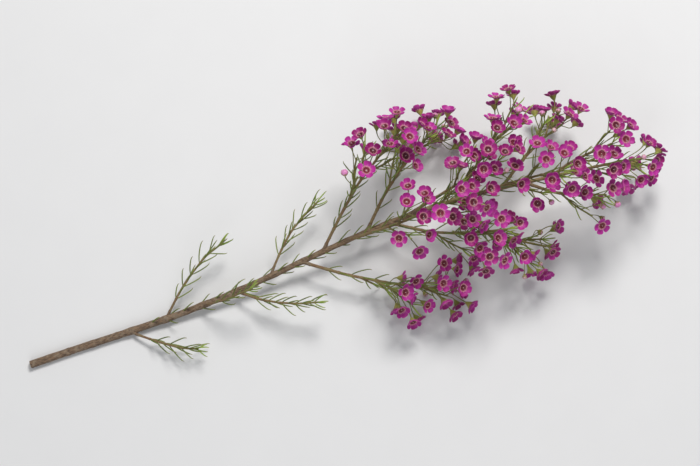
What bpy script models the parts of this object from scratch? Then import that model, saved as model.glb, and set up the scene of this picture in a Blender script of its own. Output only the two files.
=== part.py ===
"""A cut stem of waxflower that lies on its side, in metres, +Z up.

The woody main stem runs along +Y from its cut end. Leafy twigs and then flowering sprays leave
it from short collars, and each spray is one solid: its wood, needle leaves, buds and flowers.
"""
import math
from types import SimpleNamespace

import bmesh
import bpy
import numpy as np
from mathutils import Matrix, Vector

# Growth: the run of the wood, and where each flower, bud and needle leaf sits. Here the cut
# end is at the origin, and the stem runs along +Y on the plane z = 0 that it lies on.

MM = 0.001
SEED = 24

STEM_LENGTH = 430 * MM
CUT_RADIUS = 2.9 * MM
STEM_TOP_RADIUS = 1.25 * MM
STEM_SWAY = 9 * MM
STEM_WAVES = 1.15
STEM_RISE = 34 * MM
RISE_STARTS = 0.12
STEM_STEPS = 15

SIDE_SPRAYS = 12
LOWEST_SPRAY, HIGHEST_SPRAY = 0.5, 0.95
LONGEST_SHOOT, SHORTEST_SHOOT = 112 * MM, 50 * MM
SHOOT_HEIGHTS = (-7, 36, 76)
SHOOT_LEAN = math.radians(47)
SHOOT_BEND = 0.72
SHOOT_STEP = 26 * MM
SHOOT_RADIUS = 1.25 * MM
LEADER_LENGTH = 50 * MM
FORKED_ABOVE = 90 * MM
LEAFY_TIP = 13 * MM

TWIG_EVERY = 16 * MM
TWIG_TURNS = (62, -58, 8, 118, -112)
TWIG_LENGTH = 31 * MM
TWIG_LEAN = math.radians(42)
TWIG_BEND = 0.6
TWIG_RADIUS = 0.78 * MM
TIP_RADIUS = 0.62 * MM
WOOD_CLEAR = 4.5 * MM

LEAFY_TWIGS = 5
LOWEST_LEAFY, HIGHEST_LEAFY = 0.18, 0.44
LEAFY_HEIGHTS = (14, 158, 72, 20, 166)
LEAFY_LENGTH = 60 * MM

COLLAR_LENGTH = 4.2 * MM
JOINT_GAP = 0.3 * MM

FLOWER_RADIUS = 6.9 * MM
CUP_DEPTH = 4.6 * MM
BUD_RADIUS = 2.7 * MM
BUD_DEPTH = 3.9 * MM
BUD_SHARE = 0.15
STALK_RADIUS = 0.42 * MM
STALK_LENGTH = 9 * MM
STALK_LEAN = math.radians(38)
FORK_LEAN = math.radians(33)
PAIR_GAP = 7.5 * MM
MISSING_SHARE = 0.1

SETTLE_ROUNDS = 70
ROOM_OWN, ROOM_OTHER = 1.02, 1.06
ROOT_ZONE = 2.6 * MM
NEAR = 32 * MM

LEAF_LENGTH = 15 * MM
LEAF_WIDTH = 1.0 * MM
LEAF_LEAN = math.radians(38)
LEAF_GAP = 8.5 * MM
LEAF_CLEAR = 0.9 * MM

UP = np.array([0.0, 0.0, 1.0])
RIGHT = np.array([1.0, 0.0, 0.0])


def unit(vector):
    return vector / np.linalg.norm(vector)


def turned(vector, axis, angle):
    """The vector turned about a unit axis, by Rodrigues' formula."""
    straight = axis * np.dot(axis, vector) * (1 - math.cos(angle))
    return vector * math.cos(angle) + np.cross(axis, vector) * math.sin(angle) + straight


def across(axis, near):
    """The unit vector square to axis that points nearest to near."""
    return unit(near - axis * np.dot(axis, near))


def leaning(along, side, angle):
    return along * math.cos(angle) + side * math.sin(angle)


def between(first, last, share):
    return first + (last - first) * share


def smooth(share, start, end):
    """Eases from 0 at start to 1 at end."""
    eased = min(max((share - start) / (end - start), 0.0), 1.0)
    return eased * eased * (3 - 2 * eased)


class Rod:
    """A stretch of wood: points along its middle, and its radius at each."""

    def __init__(self, points, first_radius, last_radius):
        self.points = np.array(points)
        self.radii = np.linspace(first_radius, last_radius, len(points))
        steps = np.linalg.norm(np.diff(self.points, axis=0), axis=1)
        self.reach = np.concatenate([[0.0], np.cumsum(steps)])
        self.length = self.reach[-1]

    def at(self, distance):
        """The point that far along, and the way the rod runs there."""
        distance = min(max(distance, 0.0), self.length)
        index = min(int(np.searchsorted(self.reach, distance, side="right")) - 1, len(self.points) - 2)
        step = self.points[index + 1] - self.points[index]
        share = (distance - self.reach[index]) / np.linalg.norm(step)
        return self.points[index] + step * share, unit(step)

    def radius_at(self, distance):
        return float(np.interp(distance, self.reach, self.radii))

    def samples(self, gap):
        count = max(2, int(self.length / gap) + 1)
        return np.array([self.at(d)[0] for d in np.linspace(0, self.length, count)])


class Crowd:
    """Points that are taken, each with the room it fills and the number of the spray it belongs to."""

    def __init__(self):
        self.points = np.empty((0, 3))
        self.room = np.empty(0)
        self.owner = np.empty(0)

    def add(self, points, room, owner):
        self.points = np.concatenate([self.points, points])
        self.room = np.concatenate([self.room, np.broadcast_to(room, len(points))])
        self.owner = np.concatenate([self.owner, np.full(len(points), owner)])

    def touches(self, points, room, counted):
        """Whether points with room round them reach into any of the counted points near them."""
        near = counted & (np.abs(self.points - points.mean(axis=0)) < NEAR).all(axis=1)
        apart = np.linalg.norm(points[:, None, :] - self.points[None, near, :], axis=2)
        return bool((apart < np.reshape(room, (-1, 1)) + self.room[None, near]).any())


def stem_point(share):
    """The middle of the main stem: it lies flat by the cut end, then rises where its sprays hold it up."""
    sway = STEM_SWAY * math.sin(2 * math.pi * STEM_WAVES * share) * share
    return np.array([sway, share * STEM_LENGTH, CUT_RADIUS + STEM_RISE * smooth(share, RISE_STARTS, 1.0)])


def grow_wood(rng, start, heading, target, length, bend, radii, steps, wander):
    """A shoot that sets out along heading and turns towards target, clear of the plane below."""
    points = [start]
    for i in range(steps):
        share = bend * (i + 0.5) / steps
        way = unit(between(heading, target, share) + rng.normal(0, wander, 3))
        point = points[-1] + way * length / steps
        point[2] = max(point[2], WOOD_CLEAR)
        points.append(point)
    return Rod(points, *radii)


def outward_from(stem, point):
    """The way from the stem's middle to a point beside it, square to the stem."""
    middle, along = stem.at(point[1] / STEM_LENGTH * stem.length)
    away = point - middle
    away = away - along * np.dot(along, away)
    return unit(away) if np.linalg.norm(away) > 4 * MM else across(along, UP)


def new_spray(name, collar=None):
    return SimpleNamespace(name=name, collar=collar, rods=[], heads=[], leaves=[])


def add_head(rng, spray, stem, base, way, reach):
    """One flower or bud at the end of its own stalk."""
    is_bud = rng.random() < BUD_SHARE
    reach *= 0.8 if is_bud else 1.0
    centre = base + way * reach
    facing = unit(way * 0.62 + outward_from(stem, centre) * 0.38 + UP * 0.26 + rng.normal(0, 0.12, 3))
    head = SimpleNamespace(kind="bud" if is_bud else "flower", base=base, centre=centre, facing=facing)
    head.size = rng.uniform(0.62, 1.02) if is_bud else rng.uniform(0.92, 1.06)
    head.lift = rng.uniform(0.12, 0.75)
    head.roll = rng.uniform(0, 2 * math.pi)
    head.tint = rng.random()
    spray.heads.append(head)


def grow_flower_end(rng, spray, stem, rod, pairs, forks, leafy_tip=0.0):
    """Pairs of stalks near a rod's end, crosswise to the pair before, the lower ones longer."""
    turn = rng.uniform(0, math.pi)
    for pair in range(pairs):
        below = 2.5 * MM + pair * PAIR_GAP
        point, along = rod.at(rod.length - leafy_tip - below)
        side = turned(across(along, UP), along, turn + pair * math.pi / 2)
        for way in (side, -side):
            if pair and rng.random() < MISSING_SHARE:
                continue
            stalk = leaning(along, way, STALK_LEAN + rng.normal(0, 0.1))
            reach = STALK_LENGTH + CUP_DEPTH + below * 0.8 + rng.normal(0, 1.2 * MM)
            if pair < pairs - forks:
                add_head(rng, spray, stem, point, stalk, reach)
                continue
            fork = point + stalk * reach * 0.42
            spray.rods.append(Rod([point, fork], STALK_RADIUS * 1.15, STALK_RADIUS))
            spread = turned(across(stalk, UP), stalk, rng.uniform(0, math.pi))
            for part in (spread, -spread):
                add_head(rng, spray, stem, fork, leaning(stalk, part, FORK_LEAN), reach * 0.72)


def grow_twigs(rng, spray, stem, shoot, shares, outward):
    """Short side twigs along a shoot, each with its own flowers."""
    for k, share in enumerate(shares):
        point, along = shoot.at(shoot.length * share)
        turn = math.radians(TWIG_TURNS[k % len(TWIG_TURNS)] + rng.normal(0, 9))
        heading = leaning(along, turned(across(along, outward), along, turn), TWIG_LEAN)
        length = TWIG_LENGTH * (1.05 - 0.45 * share) * rng.uniform(0.9, 1.1)
        radii = (TWIG_RADIUS, TIP_RADIUS)
        twig = grow_wood(rng, point, heading, along, length, TWIG_BEND, radii, 2, 0.03)
        spray.rods.append(twig)
        grow_flower_end(rng, spray, stem, twig, pairs=2, forks=0)


def leave_stem(stem, share, height):
    """Where a shoot sets out from the stem's collar, its heading and its side; height is in degrees."""
    middle, along = stem.at(stem.length * share)
    side = turned(across(along, RIGHT), along, -math.radians(height))
    heading = leaning(along, side, SHOOT_LEAN)
    start = middle + heading * (stem.radius_at(stem.length * share) + COLLAR_LENGTH + JOINT_GAP)
    return start, heading, side, along, (middle, heading)


def grow_side_spray(rng, stem, index):
    """A flowering shoot, the sprays leaving right and left in turn and the lower ones longer."""
    place = index / (SIDE_SPRAYS - 1)
    height = SHOOT_HEIGHTS[index % len(SHOOT_HEIGHTS)] + rng.normal(0, 5)
    height = height if index % 2 == 0 else 180 - height
    share = between(LOWEST_SPRAY, HIGHEST_SPRAY, place)
    start, heading, side, along, collar = leave_stem(stem, share, height)
    spray = new_spray(f"side_spray_{index + 1:02d}", collar)
    length = between(LONGEST_SHOOT, SHORTEST_SHOOT, place) * rng.uniform(0.93, 1.07)
    radii = (SHOOT_RADIUS, TIP_RADIUS * 1.2)
    steps = max(3, round(length / SHOOT_STEP))
    target = unit(along + side * 0.18)
    shoot = grow_wood(rng, start, heading, target, length, SHOOT_BEND, radii, steps, 0.05)
    spray.rods.append(shoot)
    twigs = max(1, round((length - 18 * MM) / TWIG_EVERY))
    shares = [between(0.3, 0.82, (k + 0.5) / twigs) for k in range(twigs)]
    grow_twigs(rng, spray, stem, shoot, shares, side)
    forks = 1 if length > FORKED_ABOVE else 0
    leafy_tip = LEAFY_TIP if index % 3 == 1 else 0.0
    grow_flower_end(rng, spray, stem, shoot, 3, forks, leafy_tip)
    return spray


def grow_leader(rng, stem):
    """The spray at the top of the stem, in line with it."""
    top, along = stem.at(stem.length)
    spray = new_spray("leader_spray")
    target = unit(along + RIGHT * 0.15 + UP * 0.1)
    radii = (STEM_TOP_RADIUS * 0.95, TIP_RADIUS * 1.2)
    leader = grow_wood(rng, top + along * JOINT_GAP, along, target, LEADER_LENGTH, 0.8, radii, 3, 0.03)
    spray.rods.append(leader)
    grow_twigs(rng, spray, stem, leader, (0.15, 0.4), RIGHT)
    grow_flower_end(rng, spray, stem, leader, pairs=3, forks=0)
    return spray


def grow_leafy_twig(rng, stem, index):
    """A short shoot with no flowers, low on the stem."""
    share = between(LOWEST_LEAFY, HIGHEST_LEAFY, index / (LEAFY_TWIGS - 1))
    start, heading, _, along, collar = leave_stem(stem, share, LEAFY_HEIGHTS[index])
    spray = new_spray(f"leafy_twig_{index + 1:02d}", collar)
    length = LEAFY_LENGTH * rng.uniform(0.75, 1.15)
    radii = (TWIG_RADIUS * 1.2, TIP_RADIUS)
    spray.rods.append(grow_wood(rng, start, heading, along, length, 0.6, radii, 4, 0.05))
    return spray


def stalk_foot(head):
    """Where the stalk ends and the cup of the flower or bud begins."""
    depth = CUP_DEPTH if head.kind == "flower" else BUD_DEPTH
    return head.centre - head.facing * depth * head.size


def head_room(head):
    return head.size * (FLOWER_RADIUS if head.kind == "flower" else BUD_RADIUS * 1.25)


def lowest_centre(head):
    """How high a head's middle is when its rim just touches the plane below."""
    if head.kind == "bud":
        return BUD_RADIUS * head.size
    return FLOWER_RADIUS * head.size * math.sqrt(1 - head.facing[2] ** 2) + 0.7 * MM


def settle_heads(stem, sprays):
    """Lets crowded heads push each other apart, off the wood and off the plane below."""
    heads = [h for s in sprays for h in s.heads]
    owner = np.array([i for i, s in enumerate(sprays) for _ in s.heads])[:, None]
    centres = np.array([h.centre for h in heads])
    bases = np.array([h.base for h in heads])
    home = centres.copy()
    room = np.array([head_room(h) for h in heads])[:, None]
    lowest = np.array([lowest_centre(h) for h in heads])
    wood = Crowd()
    wood.add(stem.samples(4 * MM), 0, -1)
    for i, spray in enumerate(sprays):
        for rod in spray.rods:
            wood.add(rod.samples(4 * MM), 0, i)
    others = 1 - np.eye(len(heads))
    need = (room + room.T) * np.where(owner == owner.T, ROOM_OWN, ROOM_OTHER) * others
    wood_need = np.where(owner == wood.owner, 0.62, 1.1) * room + 1.2 * MM
    stalk_need = (0.8 * room + 1.1 * MM) * others
    for _ in range(SETTLE_ROUNDS):
        stalks = between(bases, centres, 0.6)
        for points, reach in ((centres, need), (wood.points, wood_need), (stalks, stalk_need)):
            apart = centres[:, None, :] - points[None, :, :]
            distance = np.linalg.norm(apart, axis=2) + 1e-9
            press = np.clip(reach - distance, 0, None) / distance
            centres = centres + 0.3 * (press[:, :, None] * apart).sum(axis=1)
        centres += (home - centres) * 0.03
        centres[:, 2] = np.maximum(centres[:, 2], lowest)
    for head, centre in zip(heads, centres):
        head.centre = centre


def head_samples(head):
    """Points over a head and its stalk, but not the stalk's root, with the room round each."""
    foot = stalk_foot(head)
    start = ROOT_ZONE / np.linalg.norm(foot - head.base)
    points = [between(head.base, foot, share) for share in np.linspace(start, 1, 9)]
    room = [0.55 * MM] * len(points)
    for share in (0.35, 0.7):
        points.append(between(foot, head.centre, share))
        room.append(0.3 * head_room(head))
    first = across(head.facing, UP + RIGHT * 0.1)
    rings = ((0.35, 0.5), (0.68, 0.5), (0.95, 0.5)) if head.kind == "flower" else ((0.4, 1.2), (0.0, 1.6))
    for share, clear in rings:
        for k in range(12):
            outward = turned(first, head.facing, math.pi * k / 6)
            rise = head.facing * math.sin(head.lift) * max(share - 0.4, 0)
            points.append(head.centre + (outward * share + rise) * head_room(head))
            room.append(clear * MM)
    return np.array(points), np.array(room)


def crowd_of_wood(stem, sprays):
    crowd = Crowd()
    crowd.add(stem.samples(1.5 * MM), CUT_RADIUS * 0.8, -1)
    for i, spray in enumerate(sprays):
        for rod in spray.rods:
            crowd.add(rod.samples(1.5 * MM), rod.radii.mean(), i)
    return crowd


def leave_out_crossing_heads(stem, sprays):
    """Leaves out each head that still runs through wood or another head, and returns what is taken."""
    crowd = crowd_of_wood(stem, sprays)
    for i, spray in enumerate(sprays):
        kept = []
        for head in spray.heads:
            points, room = head_samples(head)
            beyond_root = np.linalg.norm(crowd.points - head.base, axis=1) > ROOT_ZONE
            if crowd.touches(points, room, beyond_root):
                continue
            kept.append(head)
            crowd.add(points, room, i)
        spray.heads = kept
    return crowd


def add_leaf_pairs(rng, spray, rod, start, end, gap, length, young=0.0):
    """Opposite pairs of needle leaves along a rod, each pair crosswise to the one before."""
    turn = rng.uniform(0, math.pi)
    count = max(1, round((end - start) / gap))
    for k in range(count):
        distance = between(start, end, (k + 0.5) / count)
        point, along = rod.at(distance)
        side = turned(across(along, UP), along, turn + k * math.pi / 2)
        for way in (side, -side):
            leaf = SimpleNamespace(base=point, root=rod.radius_at(distance), young=young)
            leaf.way = leaning(along, way, LEAF_LEAN * rng.uniform(0.75, 1.25))
            leaf.curl = along * 0.35 + rng.normal(0, 0.1, 3)
            leaf.length = length * rng.uniform(0.75, 1.2)
            leaf.tint = rng.random()
            spray.leaves.append(leaf)


def leaf_points(leaf, shares):
    """Points along a leaf's middle line, which bends gently towards its shoot's own way."""
    return np.array([leaf.base + unit(leaf.way + leaf.curl * s) * leaf.length * s for s in shares])


def add_leaves(rng, stem, trunk, sprays):
    add_leaf_pairs(rng, trunk, stem, stem.length * 0.2, stem.length * 0.9, LEAF_GAP * 1.5, LEAF_LENGTH)
    for spray in sprays:
        shoot = spray.rods[0]
        if not spray.heads:
            tip = shoot.length - 5 * MM
            add_leaf_pairs(rng, spray, shoot, 7 * MM, tip, LEAF_GAP * 0.62, LEAF_LENGTH)
            add_leaf_pairs(rng, spray, shoot, tip, shoot.length, 2 * MM, LEAF_LENGTH * 0.7, 0.8)
            continue
        add_leaf_pairs(rng, spray, shoot, 9 * MM, shoot.length * 0.8, LEAF_GAP, LEAF_LENGTH)
        for rod in spray.rods[1:]:
            if rod.length > 20 * MM:
                end = rod.length * 0.6
                add_leaf_pairs(rng, spray, rod, 3 * MM, end, LEAF_GAP * 0.8, LEAF_LENGTH * 0.75, 0.3)
        for rod in spray.rods:
            if rod.length > 20 * MM and rng.random() < 0.6:
                start = rod.length - 1.5 * MM
                add_leaf_pairs(rng, spray, rod, start, rod.length, 0.7 * MM, LEAF_LENGTH * 0.8, 1.0)


def drop_crossing_leaves(crowd, groups):
    """Leaves out each needle that would run through a flower, or through anything of another spray."""
    heads = [h for g in groups for h in g.heads]
    middles = np.array([h.centre for h in heads])
    sizes = np.array([head_room(h) for h in heads])
    for i, group in enumerate(groups):
        kept = []
        for leaf in group.leaves:
            line = leaf_points(leaf, np.linspace(0.15, 1.0, 8))
            near = np.linalg.norm(line[:, None, :] - middles[None, :, :], axis=2)
            if line[:, 2].min() < LEAF_WIDTH or (near < sizes * 0.8).any():
                continue
            if crowd.touches(line, LEAF_CLEAR, crowd.owner != i - 1):
                continue
            kept.append(leaf)
            crowd.add(line, LEAF_WIDTH / 2, i - 1)
        group.leaves = kept


def grow_plant():
    """The stem, the trunk with its own leaves, and the sprays and leafy twigs that leave it."""
    rng = np.random.default_rng(SEED)
    stem = Rod([stem_point(i / STEM_STEPS) for i in range(STEM_STEPS + 1)], CUT_RADIUS, STEM_TOP_RADIUS)
    trunk = new_spray("main_stem")
    sprays = [grow_side_spray(rng, stem, i) for i in range(SIDE_SPRAYS)]
    sprays.append(grow_leader(rng, stem))
    sprays += [grow_leafy_twig(rng, stem, i) for i in range(LEAFY_TWIGS)]
    settle_heads(stem, sprays)
    crowd = leave_out_crossing_heads(stem, sprays)
    add_leaves(rng, stem, trunk, sprays)
    drop_crossing_leaves(crowd, [trunk] + sprays)
    return stem, trunk, sprays


# Solids: a plain closed form for each thing that grew, joined spray by spray.

NAME = "waxflower_stem"
STEM_SIDES = 6
ROD_SIDES = 4
STALK_SIDES = 3
LEAF_SIDES = 3
LEAF_EVERY = 7
BARE_LEAF_EVERY = 2
KEPT_SHARE = 0.875

PETALS = 5
BLADE = 0.75 * MM
DISC_RADIUS = 2.95 * MM
DISC_HOLLOW = 0.9 * MM
PETAL_FOOT = DISC_RADIUS * math.cos(math.pi / PETALS)
HALF_CHORD = DISC_RADIUS * math.sin(math.pi / PETALS)
PETAL_LENGTH = 0.94 * (FLOWER_RADIUS - PETAL_FOOT)
PETAL_HALF_WIDTH = 2.05 * MM
BUD_RINGS = ((-0.1, 1.0), (0.55, 0.8))
BUD_TOP = 1.05

BARK = ("bark", (0.23, 0.15, 0.09, 1.0), 0.75)
FLOWERS = ("flowers", (0.30, 0.045, 0.17, 1.0), 0.45)
FOLIAGE = ("foliage", (0.16, 0.20, 0.06, 1.0), 0.5)


def clear_scene():
    for thing in list(bpy.data.objects):
        bpy.data.objects.remove(thing, do_unlink=True)


def make_material(name, colour, roughness):
    material = bpy.data.materials.new(name)
    material.use_nodes = True
    shader = material.node_tree.nodes["Principled BSDF"]
    shader.inputs["Base Color"].default_value = colour
    shader.inputs["Roughness"].default_value = roughness
    shader.inputs["Metallic"].default_value = 0.0
    return material


def link(name, data, collection):
    thing = bpy.data.objects.new(name, data)
    collection.objects.link(thing)
    return thing


def section_curve(sides, collection):
    """A flat polygon of radius 1 to sweep along a path."""
    outline = bpy.data.curves.new("section", "CURVE")
    ring = outline.splines.new("POLY")
    ring.points.add(sides - 1)
    for k, point in enumerate(ring.points):
        angle = 2 * math.pi * (k + 0.5) / sides
        point.co = (math.cos(angle), math.sin(angle), 0.0, 1.0)
    ring.use_cyclic_u = True
    return link("section", outline, collection)


def add_rod(name, points, radii, sides, collection):
    """A tapered tube with few sides and closed ends: a curve swept by a polygon, made a mesh."""
    section = section_curve(sides, collection)
    curve = bpy.data.curves.new(name, "CURVE")
    curve.dimensions = "3D"
    curve.bevel_mode = "OBJECT"
    curve.bevel_object = section
    curve.use_fill_caps = True
    spline = curve.splines.new("POLY")
    spline.points.add(len(points) - 1)
    for point, place, radius in zip(spline.points, points, radii):
        point.co = (*place, 1.0)
        point.radius = radius
    path = link(name, curve, collection)
    evaluated = path.evaluated_get(bpy.context.evaluated_depsgraph_get())
    shell = bmesh.new()
    shell.from_mesh(bpy.data.meshes.new_from_object(evaluated))
    bmesh.ops.remove_doubles(shell, verts=shell.verts, dist=0.01 * MM)
    bpy.data.objects.remove(path, do_unlink=True)
    bpy.data.objects.remove(section, do_unlink=True)
    return finish(name, shell, collection)


def finish(name, shell, collection):
    """A closed shell as an object of its own, faces out."""
    bmesh.ops.recalc_face_normals(shell, faces=shell.faces)
    mesh = bpy.data.meshes.new(name)
    shell.to_mesh(mesh)
    shell.free()
    return link(name, mesh, collection)


def add_ring(shell, centre, axis, near, radius, sides):
    """Points evenly round an axis, the first one towards near."""
    first = across(axis, near)
    return [
        shell.verts.new(centre + turned(first, axis, 2 * math.pi * k / sides) * radius)
        for k in range(sides)
    ]


def loft(shell, lower, upper):
    """Triangles between two rings that may differ in their number of points."""
    i = j = 0
    while i < len(lower) or j < len(upper):
        a, b = lower[i % len(lower)], upper[j % len(upper)]
        if (i + 0.5) / len(lower) < (j + 0.5) / len(upper):
            shell.faces.new((a, lower[(i + 1) % len(lower)], b))
            i += 1
        else:
            shell.faces.new((a, upper[(j + 1) % len(upper)], b))
            j += 1


def add_stalk(shell, head, near):
    """The stalk from its root inside the twig; returns the ring at the foot of the cup."""
    foot = stalk_foot(head)
    way = unit(foot - head.base)
    root = add_ring(shell, head.base, way, near, STALK_RADIUS * 0.72, STALK_SIDES)
    top = add_ring(shell, foot, unit(way + head.facing), near, STALK_RADIUS * 1.3, STALK_SIDES)
    shell.faces.new(root)
    loft(shell, root, top)
    return top


def flower_rim(shell, head, first, drop, sides):
    """The outline of the petals at a depth below their tops: the notches between them, and their tips."""
    flat_run, rise = math.cos(head.lift), math.sin(head.lift)

    def place(petal, along, aside):
        outward = turned(first, head.facing, 2 * math.pi * petal / PETALS)
        reach = outward * (PETAL_FOOT + along * flat_run + drop * rise)
        height = head.facing * (along * rise - drop * flat_run)
        sideways = np.cross(head.facing, outward) * aside
        return shell.verts.new(head.centre + (reach + height + sideways) * head.size)

    notches = [place(k, -drop * rise, -HALF_CHORD) for k in range(PETALS)]
    tips = [[place(k, PETAL_LENGTH, side * PETAL_HALF_WIDTH) for side in sides] for k in range(PETALS)]
    return notches, tips


def add_flower(name, head, collection):
    """Five petals round a hollowed disc, on a cup that narrows to the stalk."""
    first = turned(across(head.facing, UP + RIGHT * 0.1), head.facing, head.roll)
    shell = bmesh.new()
    foot = add_stalk(shell, head, first)
    bed = shell.verts.new(head.centre - head.facing * DISC_HOLLOW * head.size)
    top_notches, top_tips = flower_rim(shell, head, first, 0.0, (-1, 1))
    low_notches, low_tips = flower_rim(shell, head, first, BLADE, (0,))
    for k in range(PETALS):
        after = (k + 1) % PETALS
        shell.faces.new((bed, top_notches[k], top_notches[after]))
        start, left, right, end = top_notches[k], *top_tips[k], top_notches[after]
        low_start, keel, low_end = low_notches[k], *low_tips[k], low_notches[after]
        shell.faces.new((start, left, right))
        shell.faces.new((start, right, end))
        shell.faces.new((low_start, keel, low_end))
        shell.faces.new((left, right, keel))
        shell.faces.new((start, left, keel))
        shell.faces.new((start, keel, low_start))
        shell.faces.new((right, end, keel))
        shell.faces.new((end, low_end, keel))
    loft(shell, foot, low_notches)
    return finish(name, shell, collection)


def add_bud(name, head, collection):
    """A closed bud: a cup that widens from the stalk, under a low round top."""
    first = turned(across(head.facing, UP + RIGHT * 0.1), head.facing, head.roll)
    shell = bmesh.new()
    lower = add_stalk(shell, head, first)
    radius = BUD_RADIUS * head.size
    for height, width in BUD_RINGS:
        centre = head.centre + head.facing * height * radius
        upper = add_ring(shell, centre, head.facing, first, radius * width, PETALS)
        loft(shell, lower, upper)
        lower = upper
    tip = shell.verts.new(head.centre + head.facing * BUD_TOP * radius)
    for k in range(PETALS):
        shell.faces.new((lower[k], lower[(k + 1) % PETALS], tip))
    return finish(name, shell, collection)


def add_leaf(name, leaf, collection):
    """A needle leaf: a slim three-sided cone with its root inside the wood."""
    root, tip = leaf_points(leaf, (0.0, 1.0))
    length = np.linalg.norm(tip - root)
    shell = bmesh.new()
    bmesh.ops.create_cone(
        shell, cap_ends=True, segments=LEAF_SIDES, radius1=LEAF_WIDTH * 0.45, radius2=0.0, depth=length
    )
    turn = Vector(tip - root).to_track_quat("Z", "Y").to_matrix().to_4x4()
    shell.transform(Matrix.Translation(Vector((root + tip) / 2)) @ turn)
    return finish(name, shell, collection)


def join_pieces(name, loose, home, material):
    """One Boolean union of the loose pieces, thinned of the spare points that it leaves."""
    base, *rest = loose.objects
    loose.objects.unlink(base)
    home.objects.link(base)
    union = base.modifiers.new("union", "BOOLEAN")
    union.operation = "UNION"
    union.operand_type = "COLLECTION"
    union.collection = loose
    union.solver = "EXACT"
    thin = base.modifiers.new("thin", "DECIMATE")
    thin.ratio = KEPT_SHARE
    evaluated = base.evaluated_get(bpy.context.evaluated_depsgraph_get())
    mesh = bpy.data.meshes.new_from_object(evaluated)
    base.modifiers.clear()
    base.data = mesh
    for piece in rest:
        bpy.data.objects.remove(piece, do_unlink=True)
    base.name = name
    mesh.name = name
    mesh.materials.clear()
    mesh.materials.append(material)
    return base


def build_spray(spray, loose, home, material):
    for i, rod in enumerate(spray.rods):
        add_rod(f"rod_{i}", rod.points, rod.radii, ROD_SIDES, loose)
    for i, head in enumerate(spray.heads):
        add_head_solid = add_flower if head.kind == "flower" else add_bud
        add_head_solid(f"head_{i}", head, loose)
    every = LEAF_EVERY if spray.heads else BARE_LEAF_EVERY
    for i, leaf in enumerate(spray.leaves[::every]):
        add_leaf(f"leaf_{i}", leaf, loose)
    return join_pieces(spray.name, loose, home, material)


def build_main_stem(stem, trunk, sprays, loose, home, material):
    """The stem, with the short collars that the sprays and twigs leave it from."""
    add_rod("stem", stem.points, stem.radii, STEM_SIDES, loose)
    for spray in sprays:
        if spray.collar:
            middle, heading = spray.collar
            shoot = spray.rods[0]
            end = shoot.points[0] - heading * JOINT_GAP
            radii = (shoot.radii[0] * 1.15, shoot.radii[0] * 1.05)
            add_rod(spray.name + "_collar", (middle, end), radii, ROD_SIDES, loose)
    for i, leaf in enumerate(trunk.leaves[::BARE_LEAF_EVERY]):
        add_leaf(f"leaf_{i}", leaf, loose)
    return join_pieces(trunk.name, loose, home, material)


def stand_on_origin(parts, home):
    """Hangs the parts from one empty, which puts the middle of the whole's underside on the origin."""
    places = np.array([v.co for part in parts for v in part.data.vertices])
    low, high = places.min(axis=0), places.max(axis=0)
    holder = link(NAME, None, home)
    holder.location = (-(low[0] + high[0]) / 2, -(low[1] + high[1]) / 2, -low[2])
    for part in parts:
        part.parent = holder


def build():
    clear_scene()
    home = bpy.data.collections.new(NAME)
    loose = bpy.data.collections.new("loose_pieces")
    for collection in (home, loose):
        bpy.context.scene.collection.children.link(collection)
    bark, flowers, foliage = (make_material(*look) for look in (BARK, FLOWERS, FOLIAGE))
    stem, trunk, sprays = grow_plant()
    parts = [build_main_stem(stem, trunk, sprays, loose, home, bark)]
    for spray in sprays:
        parts.append(build_spray(spray, loose, home, flowers if spray.heads else foliage))
    stand_on_origin(parts, home)
    bpy.data.collections.remove(loose)


build()
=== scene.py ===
"""A cut stem of waxflower that lies on its side: the dressed model, in metres, +Z up.

The wood, needle leaves, buds and flowers stand where the plain solids have them, in finer forms.
"""
import math
from functools import lru_cache
from types import SimpleNamespace

import bpy
import numpy as np
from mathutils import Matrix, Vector


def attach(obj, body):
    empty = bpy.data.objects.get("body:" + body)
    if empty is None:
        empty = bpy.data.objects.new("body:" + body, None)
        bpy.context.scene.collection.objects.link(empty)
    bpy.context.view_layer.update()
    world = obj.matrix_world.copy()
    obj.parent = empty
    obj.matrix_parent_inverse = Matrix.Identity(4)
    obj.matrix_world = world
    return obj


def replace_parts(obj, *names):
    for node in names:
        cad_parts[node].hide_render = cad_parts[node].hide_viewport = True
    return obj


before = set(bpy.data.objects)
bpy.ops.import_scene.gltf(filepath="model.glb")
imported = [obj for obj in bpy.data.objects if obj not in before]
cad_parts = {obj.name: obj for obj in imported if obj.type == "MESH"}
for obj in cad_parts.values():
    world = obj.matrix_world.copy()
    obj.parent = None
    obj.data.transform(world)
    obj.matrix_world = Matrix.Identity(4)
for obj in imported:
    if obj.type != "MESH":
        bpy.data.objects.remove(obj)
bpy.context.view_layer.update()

# Growth: the run of the wood, and where each flower, bud and needle leaf sits. Here the cut
# end is at the origin, and the stem runs along +Y on the plane z = 0 that it lies on.

MM = 0.001
SEED = 24

STEM_LENGTH = 430 * MM
CUT_RADIUS = 2.9 * MM
STEM_TOP_RADIUS = 1.25 * MM
STEM_SWAY = 9 * MM
STEM_WAVES = 1.15
STEM_RISE = 34 * MM
RISE_STARTS = 0.12
STEM_STEPS = 15

SIDE_SPRAYS = 12
LOWEST_SPRAY, HIGHEST_SPRAY = 0.5, 0.95
LONGEST_SHOOT, SHORTEST_SHOOT = 112 * MM, 50 * MM
SHOOT_HEIGHTS = (-7, 36, 76)
SHOOT_LEAN = math.radians(47)
SHOOT_BEND = 0.72
SHOOT_STEP = 26 * MM
SHOOT_RADIUS = 1.25 * MM
LEADER_LENGTH = 50 * MM
FORKED_ABOVE = 90 * MM
LEAFY_TIP = 13 * MM

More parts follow.
